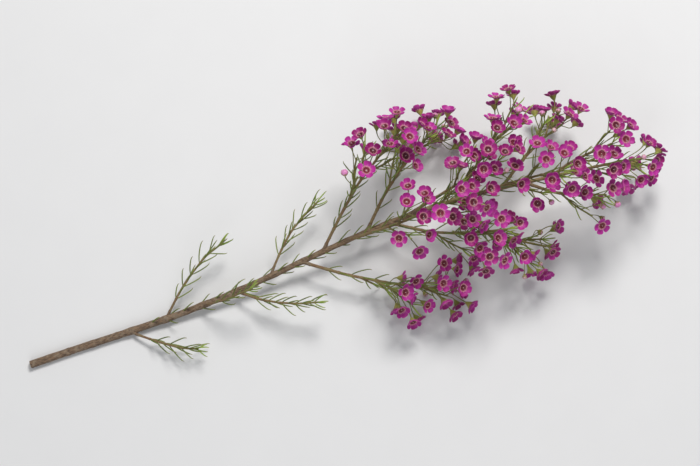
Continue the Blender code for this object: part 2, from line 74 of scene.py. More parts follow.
TWIG_EVERY = 16 * MM
TWIG_TURNS = (62, -58, 8, 118, -112)
TWIG_LENGTH = 31 * MM
TWIG_LEAN = math.radians(42)
TWIG_BEND = 0.6
TWIG_RADIUS = 0.78 * MM
TIP_RADIUS = 0.62 * MM
WOOD_CLEAR = 4.5 * MM

LEAFY_TWIGS = 5
LOWEST_LEAFY, HIGHEST_LEAFY = 0.18, 0.44
LEAFY_HEIGHTS = (14, 158, 72, 20, 166)
LEAFY_LENGTH = 60 * MM

COLLAR_LENGTH = 4.2 * MM
JOINT_GAP = 0.3 * MM

FLOWER_RADIUS = 6.9 * MM
CUP_DEPTH = 4.6 * MM
BUD_RADIUS = 2.7 * MM
BUD_DEPTH = 3.9 * MM
BUD_SHARE = 0.15
STALK_RADIUS = 0.42 * MM
STALK_LENGTH = 9 * MM
STALK_LEAN = math.radians(38)
FORK_LEAN = math.radians(33)
PAIR_GAP = 7.5 * MM
MISSING_SHARE = 0.1

SETTLE_ROUNDS = 70
ROOM_OWN, ROOM_OTHER = 1.02, 1.06
ROOT_ZONE = 2.6 * MM
NEAR = 32 * MM

LEAF_LENGTH = 15 * MM
LEAF_WIDTH = 1.0 * MM
LEAF_LEAN = math.radians(38)
LEAF_GAP = 8.5 * MM
LEAF_CLEAR = 0.9 * MM

UP = np.array([0.0, 0.0, 1.0])
RIGHT = np.array([1.0, 0.0, 0.0])


def unit(vector):
    return vector / np.linalg.norm(vector)


def turned(vector, axis, angle):
    """The vector turned about a unit axis, by Rodrigues' formula."""
    straight = axis * np.dot(axis, vector) * (1 - math.cos(angle))
    return vector * math.cos(angle) + np.cross(axis, vector) * math.sin(angle) + straight


def across(axis, near):
    """The unit vector square to axis that points nearest to near."""
    return unit(near - axis * np.dot(axis, near))


def leaning(along, side, angle):
    return along * math.cos(angle) + side * math.sin(angle)


def between(first, last, share):
    return first + (last - first) * share


def smooth(share, start, end):
    """Eases from 0 at start to 1 at end."""
    eased = min(max((share - start) / (end - start), 0.0), 1.0)
    return eased * eased * (3 - 2 * eased)


class Rod:
    """A stretch of wood: points along its middle, and its radius at each."""

    def __init__(self, points, first_radius, last_radius):
        self.points = np.array(points)
        self.radii = np.linspace(first_radius, last_radius, len(points))
        steps = np.linalg.norm(np.diff(self.points, axis=0), axis=1)
        self.reach = np.concatenate([[0.0], np.cumsum(steps)])
        self.length = self.reach[-1]

    def at(self, distance):
        """The point that far along, and the way the rod runs there."""
        distance = min(max(distance, 0.0), self.length)
        index = min(int(np.searchsorted(self.reach, distance, side="right")) - 1, len(self.points) - 2)
        step = self.points[index + 1] - self.points[index]
        share = (distance - self.reach[index]) / np.linalg.norm(step)
        return self.points[index] + step * share, unit(step)

    def radius_at(self, distance):
        return float(np.interp(distance, self.reach, self.radii))

    def samples(self, gap):
        count = max(2, int(self.length / gap) + 1)
        return np.array([self.at(d)[0] for d in np.linspace(0, self.length, count)])


class Crowd:
    """Points that are taken, each with the room it fills and the number of the spray it belongs to."""

    def __init__(self):
        self.points = np.empty((0, 3))
        self.room = np.empty(0)
        self.owner = np.empty(0)

    def add(self, points, room, owner):
        self.points = np.concatenate([self.points, points])
        self.room = np.concatenate([self.room, np.broadcast_to(room, len(points))])
        self.owner = np.concatenate([self.owner, np.full(len(points), owner)])

    def touches(self, points, room, counted):
        """Whether points with room round them reach into any of the counted points near them."""
        near = counted & (np.abs(self.points - points.mean(axis=0)) < NEAR).all(axis=1)
        apart = np.linalg.norm(points[:, None, :] - self.points[None, near, :], axis=2)
        return bool((apart < np.reshape(room, (-1, 1)) + self.room[None, near]).any())


def stem_point(share):
    """The middle of the main stem: it lies flat by the cut end, then rises where its sprays hold it up."""
    sway = STEM_SWAY * math.sin(2 * math.pi * STEM_WAVES * share) * share
    return np.array([sway, share * STEM_LENGTH, CUT_RADIUS + STEM_RISE * smooth(share, RISE_STARTS, 1.0)])


def grow_wood(rng, start, heading, target, length, bend, radii, steps, wander):
    """A shoot that sets out along heading and turns towards target, clear of the plane below."""
    points = [start]
    for i in range(steps):
        share = bend * (i + 0.5) / steps
        way = unit(between(heading, target, share) + rng.normal(0, wander, 3))
        point = points[-1] + way * length / steps
        point[2] = max(point[2], WOOD_CLEAR)
        points.append(point)
    return Rod(points, *radii)


def outward_from(stem, point):
    """The way from the stem's middle to a point beside it, square to the stem."""
    middle, along = stem.at(point[1] / STEM_LENGTH * stem.length)
    away = point - middle
    away = away - along * np.dot(along, away)
    return unit(away) if np.linalg.norm(away) > 4 * MM else across(along, UP)


def new_spray(name, collar=None):
    return SimpleNamespace(name=name, collar=collar, rods=[], heads=[], leaves=[])


def add_head(rng, spray, stem, base, way, reach):
    """One flower or bud at the end of its own stalk."""
    is_bud = rng.random() < BUD_SHARE
    reach *= 0.8 if is_bud else 1.0
    centre = base + way * reach
    facing = unit(way * 0.62 + outward_from(stem, centre) * 0.38 + UP * 0.26 + rng.normal(0, 0.12, 3))
    head = SimpleNamespace(kind="bud" if is_bud else "flower", base=base, centre=centre, facing=facing)
    head.size = rng.uniform(0.62, 1.02) if is_bud else rng.uniform(0.92, 1.06)
    head.lift = rng.uniform(0.12, 0.75)
    head.roll = rng.uniform(0, 2 * math.pi)
    head.tint = rng.random()
    spray.heads.append(head)


def grow_flower_end(rng, spray, stem, rod, pairs, forks, leafy_tip=0.0):
    """Pairs of stalks near a rod's end, crosswise to the pair before, the lower ones longer."""
    turn = rng.uniform(0, math.pi)
    for pair in range(pairs):
        below = 2.5 * MM + pair * PAIR_GAP
        point, along = rod.at(rod.length - leafy_tip - below)
        side = turned(across(along, UP), along, turn + pair * math.pi / 2)
        for way in (side, -side):
            if pair and rng.random() < MISSING_SHARE:
                continue
            stalk = leaning(along, way, STALK_LEAN + rng.normal(0, 0.1))
            reach = STALK_LENGTH + CUP_DEPTH + below * 0.8 + rng.normal(0, 1.2 * MM)
            if pair < pairs - forks:
                add_head(rng, spray, stem, point, stalk, reach)
                continue
            fork = point + stalk * reach * 0.42
            spray.rods.append(Rod([point, fork], STALK_RADIUS * 1.15, STALK_RADIUS))
            spread = turned(across(stalk, UP), stalk, rng.uniform(0, math.pi))
            for part in (spread, -spread):
                add_head(rng, spray, stem, fork, leaning(stalk, part, FORK_LEAN), reach * 0.72)


def grow_twigs(rng, spray, stem, shoot, shares, outward):
    """Short side twigs along a shoot, each with its own flowers."""
    for k, share in enumerate(shares):
        point, along = shoot.at(shoot.length * share)
        turn = math.radians(TWIG_TURNS[k % len(TWIG_TURNS)] + rng.normal(0, 9))
        heading = leaning(along, turned(across(along, outward), along, turn), TWIG_LEAN)
        length = TWIG_LENGTH * (1.05 - 0.45 * share) * rng.uniform(0.9, 1.1)
        radii = (TWIG_RADIUS, TIP_RADIUS)
        twig = grow_wood(rng, point, heading, along, length, TWIG_BEND, radii, 2, 0.03)
        spray.rods.append(twig)
        grow_flower_end(rng, spray, stem, twig, pairs=2, forks=0)


def leave_stem(stem, share, height):
    """Where a shoot sets out from the stem's collar, its heading and its side; height is in degrees."""
    middle, along = stem.at(stem.length * share)
    side = turned(across(along, RIGHT), along, -math.radians(height))
    heading = leaning(along, side, SHOOT_LEAN)
    start = middle + heading * (stem.radius_at(stem.length * share) + COLLAR_LENGTH + JOINT_GAP)
    return start, heading, side, along, (middle, heading)


def grow_side_spray(rng, stem, index):
    """A flowering shoot, the sprays leaving right and left in turn and the lower ones longer."""
    place = index / (SIDE_SPRAYS - 1)
    height = SHOOT_HEIGHTS[index % len(SHOOT_HEIGHTS)] + rng.normal(0, 5)
    height = height if index % 2 == 0 else 180 - height
    share = between(LOWEST_SPRAY, HIGHEST_SPRAY, place)
    start, heading, side, along, collar = leave_stem(stem, share, height)
    spray = new_spray(f"side_spray_{index + 1:02d}", collar)
    length = between(LONGEST_SHOOT, SHORTEST_SHOOT, place) * rng.uniform(0.93, 1.07)
    radii = (SHOOT_RADIUS, TIP_RADIUS * 1.2)
    steps = max(3, round(length / SHOOT_STEP))
    target = unit(along + side * 0.18)
    shoot = grow_wood(rng, start, heading, target, length, SHOOT_BEND, radii, steps, 0.05)
    spray.rods.append(shoot)
    twigs = max(1, round((length - 18 * MM) / TWIG_EVERY))
    shares = [between(0.3, 0.82, (k + 0.5) / twigs) for k in range(twigs)]
    grow_twigs(rng, spray, stem, shoot, shares, side)
    forks = 1 if length > FORKED_ABOVE else 0
    leafy_tip = LEAFY_TIP if index % 3 == 1 else 0.0
    grow_flower_end(rng, spray, stem, shoot, 3, forks, leafy_tip)
    return spray


def grow_leader(rng, stem):
    """The spray at the top of the stem, in line with it."""
    top, along = stem.at(stem.length)
    spray = new_spray("leader_spray")
    target = unit(along + RIGHT * 0.15 + UP * 0.1)
    radii = (STEM_TOP_RADIUS * 0.95, TIP_RADIUS * 1.2)
    leader = grow_wood(rng, top + along * JOINT_GAP, along, target, LEADER_LENGTH, 0.8, radii, 3, 0.03)
    spray.rods.append(leader)
    grow_twigs(rng, spray, stem, leader, (0.15, 0.4), RIGHT)
    grow_flower_end(rng, spray, stem, leader, pairs=3, forks=0)
    return spray


def grow_leafy_twig(rng, stem, index):
    """A short shoot with no flowers, low on the stem."""
    share = between(LOWEST_LEAFY, HIGHEST_LEAFY, index / (LEAFY_TWIGS - 1))
    start, heading, _, along, collar = leave_stem(stem, share, LEAFY_HEIGHTS[index])
    spray = new_spray(f"leafy_twig_{index + 1:02d}", collar)
    length = LEAFY_LENGTH * rng.uniform(0.75, 1.15)
    radii = (TWIG_RADIUS * 1.2, TIP_RADIUS)
    spray.rods.append(grow_wood(rng, start, heading, along, length, 0.6, radii, 4, 0.05))
    return spray


def stalk_foot(head):
    """Where the stalk ends and the cup of the flower or bud begins."""
    depth = CUP_DEPTH if head.kind == "flower" else BUD_DEPTH
    return head.centre - head.facing * depth * head.size


def head_room(head):
    return head.size * (FLOWER_RADIUS if head.kind == "flower" else BUD_RADIUS * 1.25)


def lowest_centre(head):
    """How high a head's middle is when its rim just touches the plane below."""
    if head.kind == "bud":
        return BUD_RADIUS * head.size
    return FLOWER_RADIUS * head.size * math.sqrt(1 - head.facing[2] ** 2) + 0.7 * MM


def settle_heads(stem, sprays):
    """Lets crowded heads push each other apart, off the wood and off the plane below."""
    heads = [h for s in sprays for h in s.heads]
    owner = np.array([i for i, s in enumerate(sprays) for _ in s.heads])[:, None]
    centres = np.array([h.centre for h in heads])
    bases = np.array([h.base for h in heads])
    home = centres.copy()
    room = np.array([head_room(h) for h in heads])[:, None]
    lowest = np.array([lowest_centre(h) for h in heads])
    wood = Crowd()
    wood.add(stem.samples(4 * MM), 0, -1)
    for i, spray in enumerate(sprays):
        for rod in spray.rods:
            wood.add(rod.samples(4 * MM), 0, i)
    others = 1 - np.eye(len(heads))
    need = (room + room.T) * np.where(owner == owner.T, ROOM_OWN, ROOM_OTHER) * others
    wood_need = np.where(owner == wood.owner, 0.62, 1.1) * room + 1.2 * MM
    stalk_need = (0.8 * room + 1.1 * MM) * others
    for _ in range(SETTLE_ROUNDS):
        stalks = between(bases, centres, 0.6)
        for points, reach in ((centres, need), (wood.points, wood_need), (stalks, stalk_need)):
            apart = centres[:, None, :] - points[None, :, :]
            distance = np.linalg.norm(apart, axis=2) + 1e-9
            press = np.clip(reach - distance, 0, None) / distance
            centres = centres + 0.3 * (press[:, :, None] * apart).sum(axis=1)
        centres += (home - centres) * 0.03
        centres[:, 2] = np.maximum(centres[:, 2], lowest)
    for head, centre in zip(heads, centres):
        head.centre = centre


def head_samples(head):
    """Points over a head and its stalk, but not the stalk's root, with the room round each."""
    foot = stalk_foot(head)
    start = ROOT_ZONE / np.linalg.norm(foot - head.base)
    points = [between(head.base, foot, share) for share in np.linspace(start, 1, 9)]
    room = [0.55 * MM] * len(points)
    for share in (0.35, 0.7):
        points.append(between(foot, head.centre, share))
        room.append(0.3 * head_room(head))
    first = across(head.facing, UP + RIGHT * 0.1)
    rings = ((0.35, 0.5), (0.68, 0.5), (0.95, 0.5)) if head.kind == "flower" else ((0.4, 1.2), (0.0, 1.6))
    for share, clear in rings:
        for k in range(12):
            outward = turned(first, head.facing, math.pi * k / 6)
            rise = head.facing * math.sin(head.lift) * max(share - 0.4, 0)
            points.append(head.centre + (outward * share + rise) * head_room(head))
            room.append(clear * MM)
    return np.array(points), np.array(room)


def crowd_of_wood(stem, sprays):
    crowd = Crowd()
    crowd.add(stem.samples(1.5 * MM), CUT_RADIUS * 0.8, -1)
    for i, spray in enumerate(sprays):
        for rod in spray.rods:
            crowd.add(rod.samples(1.5 * MM), rod.radii.mean(), i)
    return crowd


def leave_out_crossing_heads(stem, sprays):
    """Leaves out each head that still runs through wood or another head, and returns what is taken."""
    crowd = crowd_of_wood(stem, sprays)
    for i, spray in enumerate(sprays):
        kept = []
        for head in spray.heads:
            points, room = head_samples(head)
            beyond_root = np.linalg.norm(crowd.points - head.base, axis=1) > ROOT_ZONE
            if crowd.touches(points, room, beyond_root):
                continue
            kept.append(head)
            crowd.add(points, room, i)
        spray.heads = kept
    return crowd


def add_leaf_pairs(rng, spray, rod, start, end, gap, length, young=0.0):
    """Opposite pairs of needle leaves along a rod, each pair crosswise to the one before."""
    turn = rng.uniform(0, math.pi)
    count = max(1, round((end - start) / gap))
    for k in range(count):
        distance = between(start, end, (k + 0.5) / count)
        point, along = rod.at(distance)
        side = turned(across(along, UP), along, turn + k * math.pi / 2)
        for way in (side, -side):
            leaf = SimpleNamespace(base=point, root=rod.radius_at(distance), young=young)
            leaf.way = leaning(along, way, LEAF_LEAN * rng.uniform(0.75, 1.25))
            leaf.curl = along * 0.35 + rng.normal(0, 0.1, 3)
            leaf.length = length * rng.uniform(0.75, 1.2)
            leaf.tint = rng.random()
            spray.leaves.append(leaf)


def leaf_points(leaf, shares):
    """Points along a leaf's middle line, which bends gently towards its shoot's own way."""
    return np.array([leaf.base + unit(leaf.way + leaf.curl * s) * leaf.length * s for s in shares])


def add_leaves(rng, stem, trunk, sprays):
    add_leaf_pairs(rng, trunk, stem, stem.length * 0.2, stem.length * 0.9, LEAF_GAP * 1.5, LEAF_LENGTH)
    for spray in sprays:
        shoot = spray.rods[0]
        if not spray.heads:
            tip = shoot.length - 5 * MM
            add_leaf_pairs(rng, spray, shoot, 7 * MM, tip, LEAF_GAP * 0.62, LEAF_LENGTH)
            add_leaf_pairs(rng, spray, shoot, tip, shoot.length, 2 * MM, LEAF_LENGTH * 0.7, 0.8)
            continue
        add_leaf_pairs(rng, spray, shoot, 9 * MM, shoot.length * 0.8, LEAF_GAP, LEAF_LENGTH)
        for rod in spray.rods[1:]:
            if rod.length > 20 * MM:
                end = rod.length * 0.6
                add_leaf_pairs(rng, spray, rod, 3 * MM, end, LEAF_GAP * 0.8, LEAF_LENGTH * 0.75, 0.3)
        for rod in spray.rods:
            if rod.length > 20 * MM and rng.random() < 0.6:
                start = rod.length - 1.5 * MM
                add_leaf_pairs(rng, spray, rod, start, rod.length, 0.7 * MM, LEAF_LENGTH * 0.8, 1.0)


def drop_crossing_leaves(crowd, groups):
    """Leaves out each needle that would run through a flower, or through anything of another spray."""
    heads = [h for g in groups for h in g.heads]
    middles = np.array([h.centre for h in heads])
    sizes = np.array([head_room(h) for h in heads])
    for i, group in enumerate(groups):
        kept = []
        for leaf in group.leaves:
            line = leaf_points(leaf, np.linspace(0.15, 1.0, 8))
            near = np.linalg.norm(line[:, None, :] - middles[None, :, :], axis=2)
            if line[:, 2].min() < LEAF_WIDTH or (near < sizes * 0.8).any():
                continue
            if crowd.touches(line, LEAF_CLEAR, crowd.owner != i - 1):
                continue
            kept.append(leaf)
            crowd.add(line, LEAF_WIDTH / 2, i - 1)
        group.leaves = kept


def grow_plant():
    """The stem, the trunk with its own leaves, and the sprays and leafy twigs that leave it."""
    rng = np.random.default_rng(SEED)
    stem = Rod([stem_point(i / STEM_STEPS) for i in range(STEM_STEPS + 1)], CUT_RADIUS, STEM_TOP_RADIUS)
    trunk = new_spray("main_stem")
    sprays = [grow_side_spray(rng, stem, i) for i in range(SIDE_SPRAYS)]
    sprays.append(grow_leader(rng, stem))
    sprays += [grow_leafy_twig(rng, stem, i) for i in range(LEAFY_TWIGS)]
    settle_heads(stem, sprays)
    crowd = leave_out_crossing_heads(stem, sprays)
    add_leaves(rng, stem, trunk, sprays)
    drop_crossing_leaves(crowd, [trunk] + sprays)
    return stem, trunk, sprays


# Meshes: every piece is made of closed surfaces that are laid ring by ring.

ART_SEED = 7
PETALS = 5
STEM_SIDES, COLLAR_SIDES, ROD_SIDES, STALK_SIDES, LEAF_SIDES = 24, 12, 9, 7, 6
CUP_SIDES, DISC_SIDES, BUD_SIDES, BUD_CUP_SIDES = 20, 15, 40, 15
SHARP_FROM = math.radians(55)
FLOOR_EASE = 0.8 * MM

art = np.random.default_rng(ART_SEED)


def circle(count):
    """Evenly spaced angles round a circle."""
    return 2 * math.pi * np.arange(count) / count


def column(values):
    """The values as one column, a row for each ring."""
    return np.reshape(values, (-1, 1))


@lru_cache
def ring_faces(rows, columns):
    """The quads of a lattice that closes on itself across, and a fan of triangles over each end."""
    near = np.arange(rows * columns).reshape(rows, columns)
    beyond = np.roll(near, -1, axis=1)
    quads = np.stack([near[:-1], beyond[:-1], beyond[1:], near[1:]], axis=-1)
    first, last = np.full(columns, rows * columns), np.full(columns, rows * columns + 1)
    fans = np.concatenate([
        np.stack([beyond[0], near[0], first], axis=-1),
        np.stack([near[-1], beyond[-1], last], axis=-1),
    ])
    return quads.reshape(-1, 4), fans


class Skin:
    """Gathers closed surfaces into one mesh, with the numbers that its materials read at each point:
    reach from foot to tip, side across, a tint for each flower or needle, age, and below for the back."""

    def __init__(self, *looks):
        self.points, self.quads, self.fans, self.kinds = [], [], [], []
        self.looks = {name: [] for name in looks}
        self.count = 0

    def add(self, rings, kind=0, **looks):
        """A closed surface through the rings, with the middle of each end as a point of its own."""
        rows, columns = rings.shape[:2]
        quads, fans = ring_faces(rows, columns)
        self.points += [rings.reshape(-1, 3), np.array([rings[0].mean(axis=0), rings[-1].mean(axis=0)])]
        self.quads.append(quads + self.count)
        self.fans.append(fans + self.count)
        self.kinds.append(kind)
        for name, values in self.looks.items():
            lattice = np.broadcast_to(looks[name], (rows, columns))
            values += [lattice.ravel(), [lattice[0].mean(), lattice[-1].mean()]]
        self.count += rows * columns + 2

    def build(self, name, materials, slot):
        """The mesh object, standing in the frame of the solids."""
        points = np.concatenate(self.points) + SHIFT
        points[:, 2] = np.maximum(points[:, 2], 0.0)
        quads, fans = np.concatenate(self.quads), np.concatenate(self.fans)
        totals = np.concatenate([np.full(len(quads), 4), np.full(len(fans), 3)])
        mesh = bpy.data.meshes.new(name)
        mesh.vertices.add(len(points))
        mesh.vertices.foreach_set("co", points.ravel().astype(np.float32))
        mesh.loops.add(int(totals.sum()))
        corners = np.concatenate([quads.ravel(), fans.ravel()])
        mesh.loops.foreach_set("vertex_index", corners.astype(np.int32))
        mesh.polygons.add(len(totals))
        starts = np.concatenate([[0], np.cumsum(totals)[:-1]])
        mesh.polygons.foreach_set("loop_start", starts.astype(np.int32))
        counts = [len(faces) for faces in self.quads + self.fans]
        mesh.polygons.foreach_set("material_index", np.repeat(self.kinds * 2, counts).astype(np.int32))
        mesh.update(calc_edges=True)
        mesh.validate()
        for look, values in self.looks.items():
            layer = mesh.attributes.new(look, "FLOAT", "POINT")
            layer.data.foreach_set("value", np.concatenate(values).astype(np.float32))
        mesh.shade_smooth()
        mesh.set_sharp_from_angle(angle=SHARP_FROM)
        for material in materials:
            mesh.materials.append(material)
        thing = bpy.data.objects.new(name, mesh)
        bpy.context.scene.collection.objects.link(thing)
        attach(thing, "root")
        return thing


def tube(path, radii, sides, near=UP, swell=1.0):
    """Rings round a path, with a radius for each point of it and a factor for each side."""
    ways = np.gradient(path, axis=0)
    ways /= np.linalg.norm(ways, axis=1)[:, None]
    firsts = near - ways * (ways @ near)[:, None]
    firsts /= np.linalg.norm(firsts, axis=1)[:, None]
    seconds = np.cross(ways, firsts)
    angles = circle(sides)[None, :, None]
    spokes = np.cos(angles) * firsts[:, None, :] + np.sin(angles) * seconds[:, None, :]
    reach = np.broadcast_to(column(radii), (len(path), sides)) * swell
    return path[:, None, :] + spokes * reach[:, :, None]


def blade(upper, thickness):
    """Rings that each run over a thin blade's upper face and back below it."""
    return np.concatenate([upper, (upper - thickness)[:, ::-1]], axis=1)


def rounded(rod, gap, corner):
    """Points along a rod every gap or so, its corners eased over the length corner either side."""
    distances = np.linspace(0, rod.length, max(3, int(rod.length / gap) + 1))
    path = np.array([rod.at(d)[0] for d in distances])
    for joint, place in zip(rod.reach[1:-1], rod.points[1:-1]):
        ease = min(corner, joint, rod.length - joint)
        before, after = rod.at(joint - ease)[0], rod.at(joint + ease)[0]
        near = np.abs(distances - joint) < ease
        share = column((distances[near] - joint) / ease * 0.5 + 0.5)
        path[near] = (1 - share) ** 2 * before + 2 * share * (1 - share) * place + share ** 2 * after
    return distances, path


def head_frame(head):
    """The directions of a flower or bud: out to its first petal, sideways from that, and its facing."""
    first = turned(across(head.facing, UP + RIGHT * 0.1), head.facing, head.roll)
    return np.array([first, np.cross(head.facing, first), head.facing])


def above_floor(points):
    """The points with the lowest of them eased up, so that they lie on the floor and not in it."""
    height = points[..., 2]
    eased = np.clip((height + FLOOR_EASE) / (2 * FLOOR_EASE), 0, 1) ** 1.5 * FLOOR_EASE
    height = np.where(height < FLOOR_EASE, eased, height)
    return np.concatenate([points[..., :2], height[..., None]], axis=-1)


def placed(head, local, angle=0.0):
    """Points given in the head's own frame, turned about its facing and brought to its place and size."""
    c, s = math.cos(angle), math.sin(angle)
    x, y, z = local[..., 0], local[..., 1], local[..., 2]
    spun = np.stack([x * c - y * s, x * s + y * c, z], axis=-1)
    return above_floor(head.centre + (spun @ head_frame(head)) * head.size)


def level_ring(angles, reach, height):
    """One ring of a turned form, level in the head's frame."""
    return np.stack([reach * np.cos(angles), reach * np.sin(angles), np.full(len(angles), height)], axis=-1)


def lathe(profile, sides, ribs):
    """Rings of a turned form in a head's frame, from (radius, height) pairs in mm, with five soft ribs."""
    angles = circle(sides)
    ribbed = 1 + ribs * np.cos(PETALS * angles)
    return np.array([level_ring(angles, radius * ribbed, height) for radius, height in profile]) * MM


# Flowers

DISC_RADIUS = 2.95 * MM
PETAL_FOOT = DISC_RADIUS * math.cos(math.pi / PETALS)
PETAL_LENGTH = 4.4 * MM
PETAL_WIDTH = 2.82 * MM
PETAL_THICK = 0.3 * MM
PETAL_WIDTHS, PETAL_LENGTHS, PETAL_HOLLOWS = (0.93, 1.05), (0.94, 1.04), (0.14, 0.26)
LIFT_WANDER, TWIST_WANDER, TINT_WANDER = 0.09, 0.07, 0.08
EDGE_WAVE, TIP_CURL, BACK_BOW = 0.022, 0.16, 0.10
PETAL_ROWS = column([0.0, 0.1, 0.24, 0.4, 0.56, 0.71, 0.84, 0.93, 0.98, 1.0])
PETAL_SPREAD = column([0.56, 0.66, 0.83, 0.95, 1.0, 0.97, 0.84, 0.63, 0.40, 0.17])
PETAL_COLUMNS = np.array([[-1.0, -0.76, -0.38, 0.0, 0.38, 0.76, 1.0]])
PETAL_SIDES = np.concatenate([PETAL_COLUMNS, PETAL_COLUMNS[:, ::-1]], axis=1)
PETAL_BACKS = np.repeat([[0.0, 1.0]], PETAL_COLUMNS.size, axis=1)

# How far a petal folds and how much of its width it keeps, tried in turn where something is in its way.
PETAL_EASES = (
    (0.0, 1.0), (0.0, 0.87), (0.22, 0.95), (-0.22, 0.95), (0.45, 0.87), (-0.45, 0.87), (0.0, 0.7),
    (0.7, 0.8), (-0.7, 0.8), (0.95, 0.75), (0.3, 0.6), (-0.3, 0.6), (1.1, 0.6),
)
PETAL_CLEAR = 0.3 * MM
PETAL_NEAR = 9 * MM


def all_runs(stem, sprays):
    """The starts, ways, radii and owners of every straight run of wood, stalk and needle."""
    rods = [stem] + [rod for spray in sprays for rod in spray.rods]
    paths = [(rod.points, rod.radii[:-1], None) for rod in rods]
    for spray in sprays:
        paths += [(stalk_path(head), STALK_RADIUS, head) for head in spray.heads]
        paths += [(leaf_points(leaf, LEAF_SHARES), LEAF_WIDTH / 2, None) for leaf in spray.leaves]
    starts = np.concatenate([path[:-1] for path, _, _ in paths])
    ways = np.concatenate([np.diff(path, axis=0) for path, _, _ in paths])
    radii = np.concatenate([np.broadcast_to(radius, len(path) - 1) for path, radius, _ in paths])
    owners = np.concatenate([np.full(len(path) - 1, id(owner)) for path, _, owner in paths])
    return starts, ways, radii, owners


def gaps(points, starts, ways, radii):
    """How far each point is from each run's surface."""
    offsets = points[:, None, :] - starts
    shares = np.clip((offsets * ways).sum(axis=-1) / (ways ** 2).sum(axis=-1), 0, 1)
    return np.linalg.norm(offsets - shares[..., None] * ways, axis=-1) - radii


def runs_near(head, runs):
    """The runs that the petals of a flower might meet, its own stalk left out."""
    starts, ways, radii, owners = runs
    near = (gaps(head.centre[None, :], starts, ways, radii)[0] < PETAL_NEAR) & (owners != id(head))
    return starts[near], ways[near], radii[near]


def room(rings, nearby):
    """How far a petal stays from the nearest of the runs about it."""
    return gaps(rings.reshape(-1, 3), *nearby).min() if len(nearby[0]) else math.inf


def petal_rings(head, k, lift, width, length, spoon):
    """A petal's rings from its foot to its tip, each over its upper face and back below."""
    run = (PETAL_ROWS * math.cos(lift) - spoon * math.sin(lift)) * length
    height = (PETAL_ROWS * math.sin(lift) + spoon * math.cos(lift)) * length
    upper = np.stack([PETAL_FOOT + run, PETAL_COLUMNS * PETAL_SPREAD * width, height], axis=-1)
    thin_sides = np.clip(1 - np.abs(PETAL_COLUMNS) ** 6, 0.35, 1)
    thin_tip = np.clip(1.25 - PETAL_ROWS ** 8, 0.4, 1)
    thick = PETAL_THICK * thin_sides * thin_tip
    below = thick[..., None] * np.array([-math.sin(lift), 0.0, math.cos(lift)])
    return placed(head, blade(upper, below), 2 * math.pi * k / PETALS)


def add_petal(skin, head, k, tint, nearby):
    """One petal: round, hollowed like a spoon, with a narrow foot and a slightly wavy edge.
    It folds or narrows where it would meet a stalk, a twig or a needle."""
    lift = head.lift + art.normal(0, LIFT_WANDER)
    width = PETAL_WIDTH * art.uniform(*PETAL_WIDTHS)
    length = PETAL_LENGTH * art.uniform(*PETAL_LENGTHS)
    twist = art.normal(0, TWIST_WANDER)
    hollow = art.uniform(*PETAL_HOLLOWS)
    side, along = PETAL_COLUMNS, PETAL_ROWS
    ripple = np.sin(side * art.uniform(4, 7) + along * 5 + art.uniform(0, 6))
    waves = EDGE_WAVE * ripple * side ** 2 * along
    spoon = hollow * side ** 2 * PETAL_SPREAD ** 2 + TIP_CURL * along ** 2.5 + waves + twist * side
    spoon = 0.8 * spoon - BACK_BOW * np.sin(math.pi * along) * (1 - side ** 2)
    tries = []
    for fold, share in PETAL_EASES:
        rings = petal_rings(head, k, lift + fold, width * share, length * (share + 1) / 2, spoon)
        tries.append((room(rings, nearby), rings))
        if tries[-1][0] > PETAL_CLEAR:
            break
    rings = max(tries, key=lambda made: made[0])[1]
    skin.add(rings, reach=along, side=PETAL_SIDES, tint=tint, below=PETAL_BACKS)


CUP_FOOT, CUP_HEIGHT = -4.75, 4.8
CUP_PROFILE = (
    (0.50, CUP_FOOT), (0.62, -4.5), (0.86, -4.05), (1.22, -3.4), (1.62, -2.7), (2.02, -2.0), (2.38, -1.3),
    (2.66, -0.7), (2.84, -0.28), (2.86, -0.05), (2.76, 0.06), (2.6, -0.06), (2.38, -0.7), (2.1, -1.3),
)
DISC_RIM = 2.6
DISC_PROFILE = (
    (2.1, -1.15), (2.55, -0.3), (2.56, 0.04), (2.34, 0.04), (2.0, -0.22), (1.5, -0.52), (0.9, -0.7),
    (0.4, -0.74),
)
CUP_RINGS = lathe(CUP_PROFILE, CUP_SIDES, 0.035)
DISC_RINGS = lathe(DISC_PROFILE, DISC_SIDES, 0.012)

SEPAL_THICK = 0.16
SEPAL_COLUMNS = np.array([[-1.0, 0.0, 1.0]])
CUP_SEPAL_ROWS = column([0.0, 0.35, 0.7, 1.0])
CUP_SEPAL_WIDTHS = column([0.62, 0.78, 0.6, 0.2])


def sepal(outs, widths, heights, thickness):
    """A small scale in a head's frame, from how far out, how wide and how high its rows are, in mm."""
    upper = np.stack(np.broadcast_arrays(outs, widths * SEPAL_COLUMNS, heights), axis=-1) * MM
    return blade(upper, np.array(thickness) * MM)


def add_cup(skin, head):
    """The cup under a flower, with five sepals that show between the petals' feet."""
    reach = column([(height - CUP_FOOT) / CUP_HEIGHT for _, height in CUP_PROFILE])
    side = np.cos(PETALS * circle(CUP_SIDES))
    skin.add(placed(head, CUP_RINGS), reach=reach, side=side, tint=head.tint)
    along = CUP_SEPAL_ROWS
    heights = -0.42 + along * math.sin(head.lift) - 0.1 * SEPAL_COLUMNS ** 2
    local = sepal(2.62 + along, CUP_SEPAL_WIDTHS, heights, (0, 0, SEPAL_THICK))
    for angle in circle(PETALS):
        skin.add(placed(head, local, angle), reach=1.0 + 0.3 * along, side=0.0, tint=head.tint)


def thorn(sides, *rows):
    """A small tapered part in a head's frame, from how far out, high and thick its rows are, in mm."""
    outs, heights, radii = np.array(rows).T * MM
    path = np.stack([outs, 0 * outs, heights], axis=-1)
    return tube(path, radii, sides, near=np.cross(UP, RIGHT))


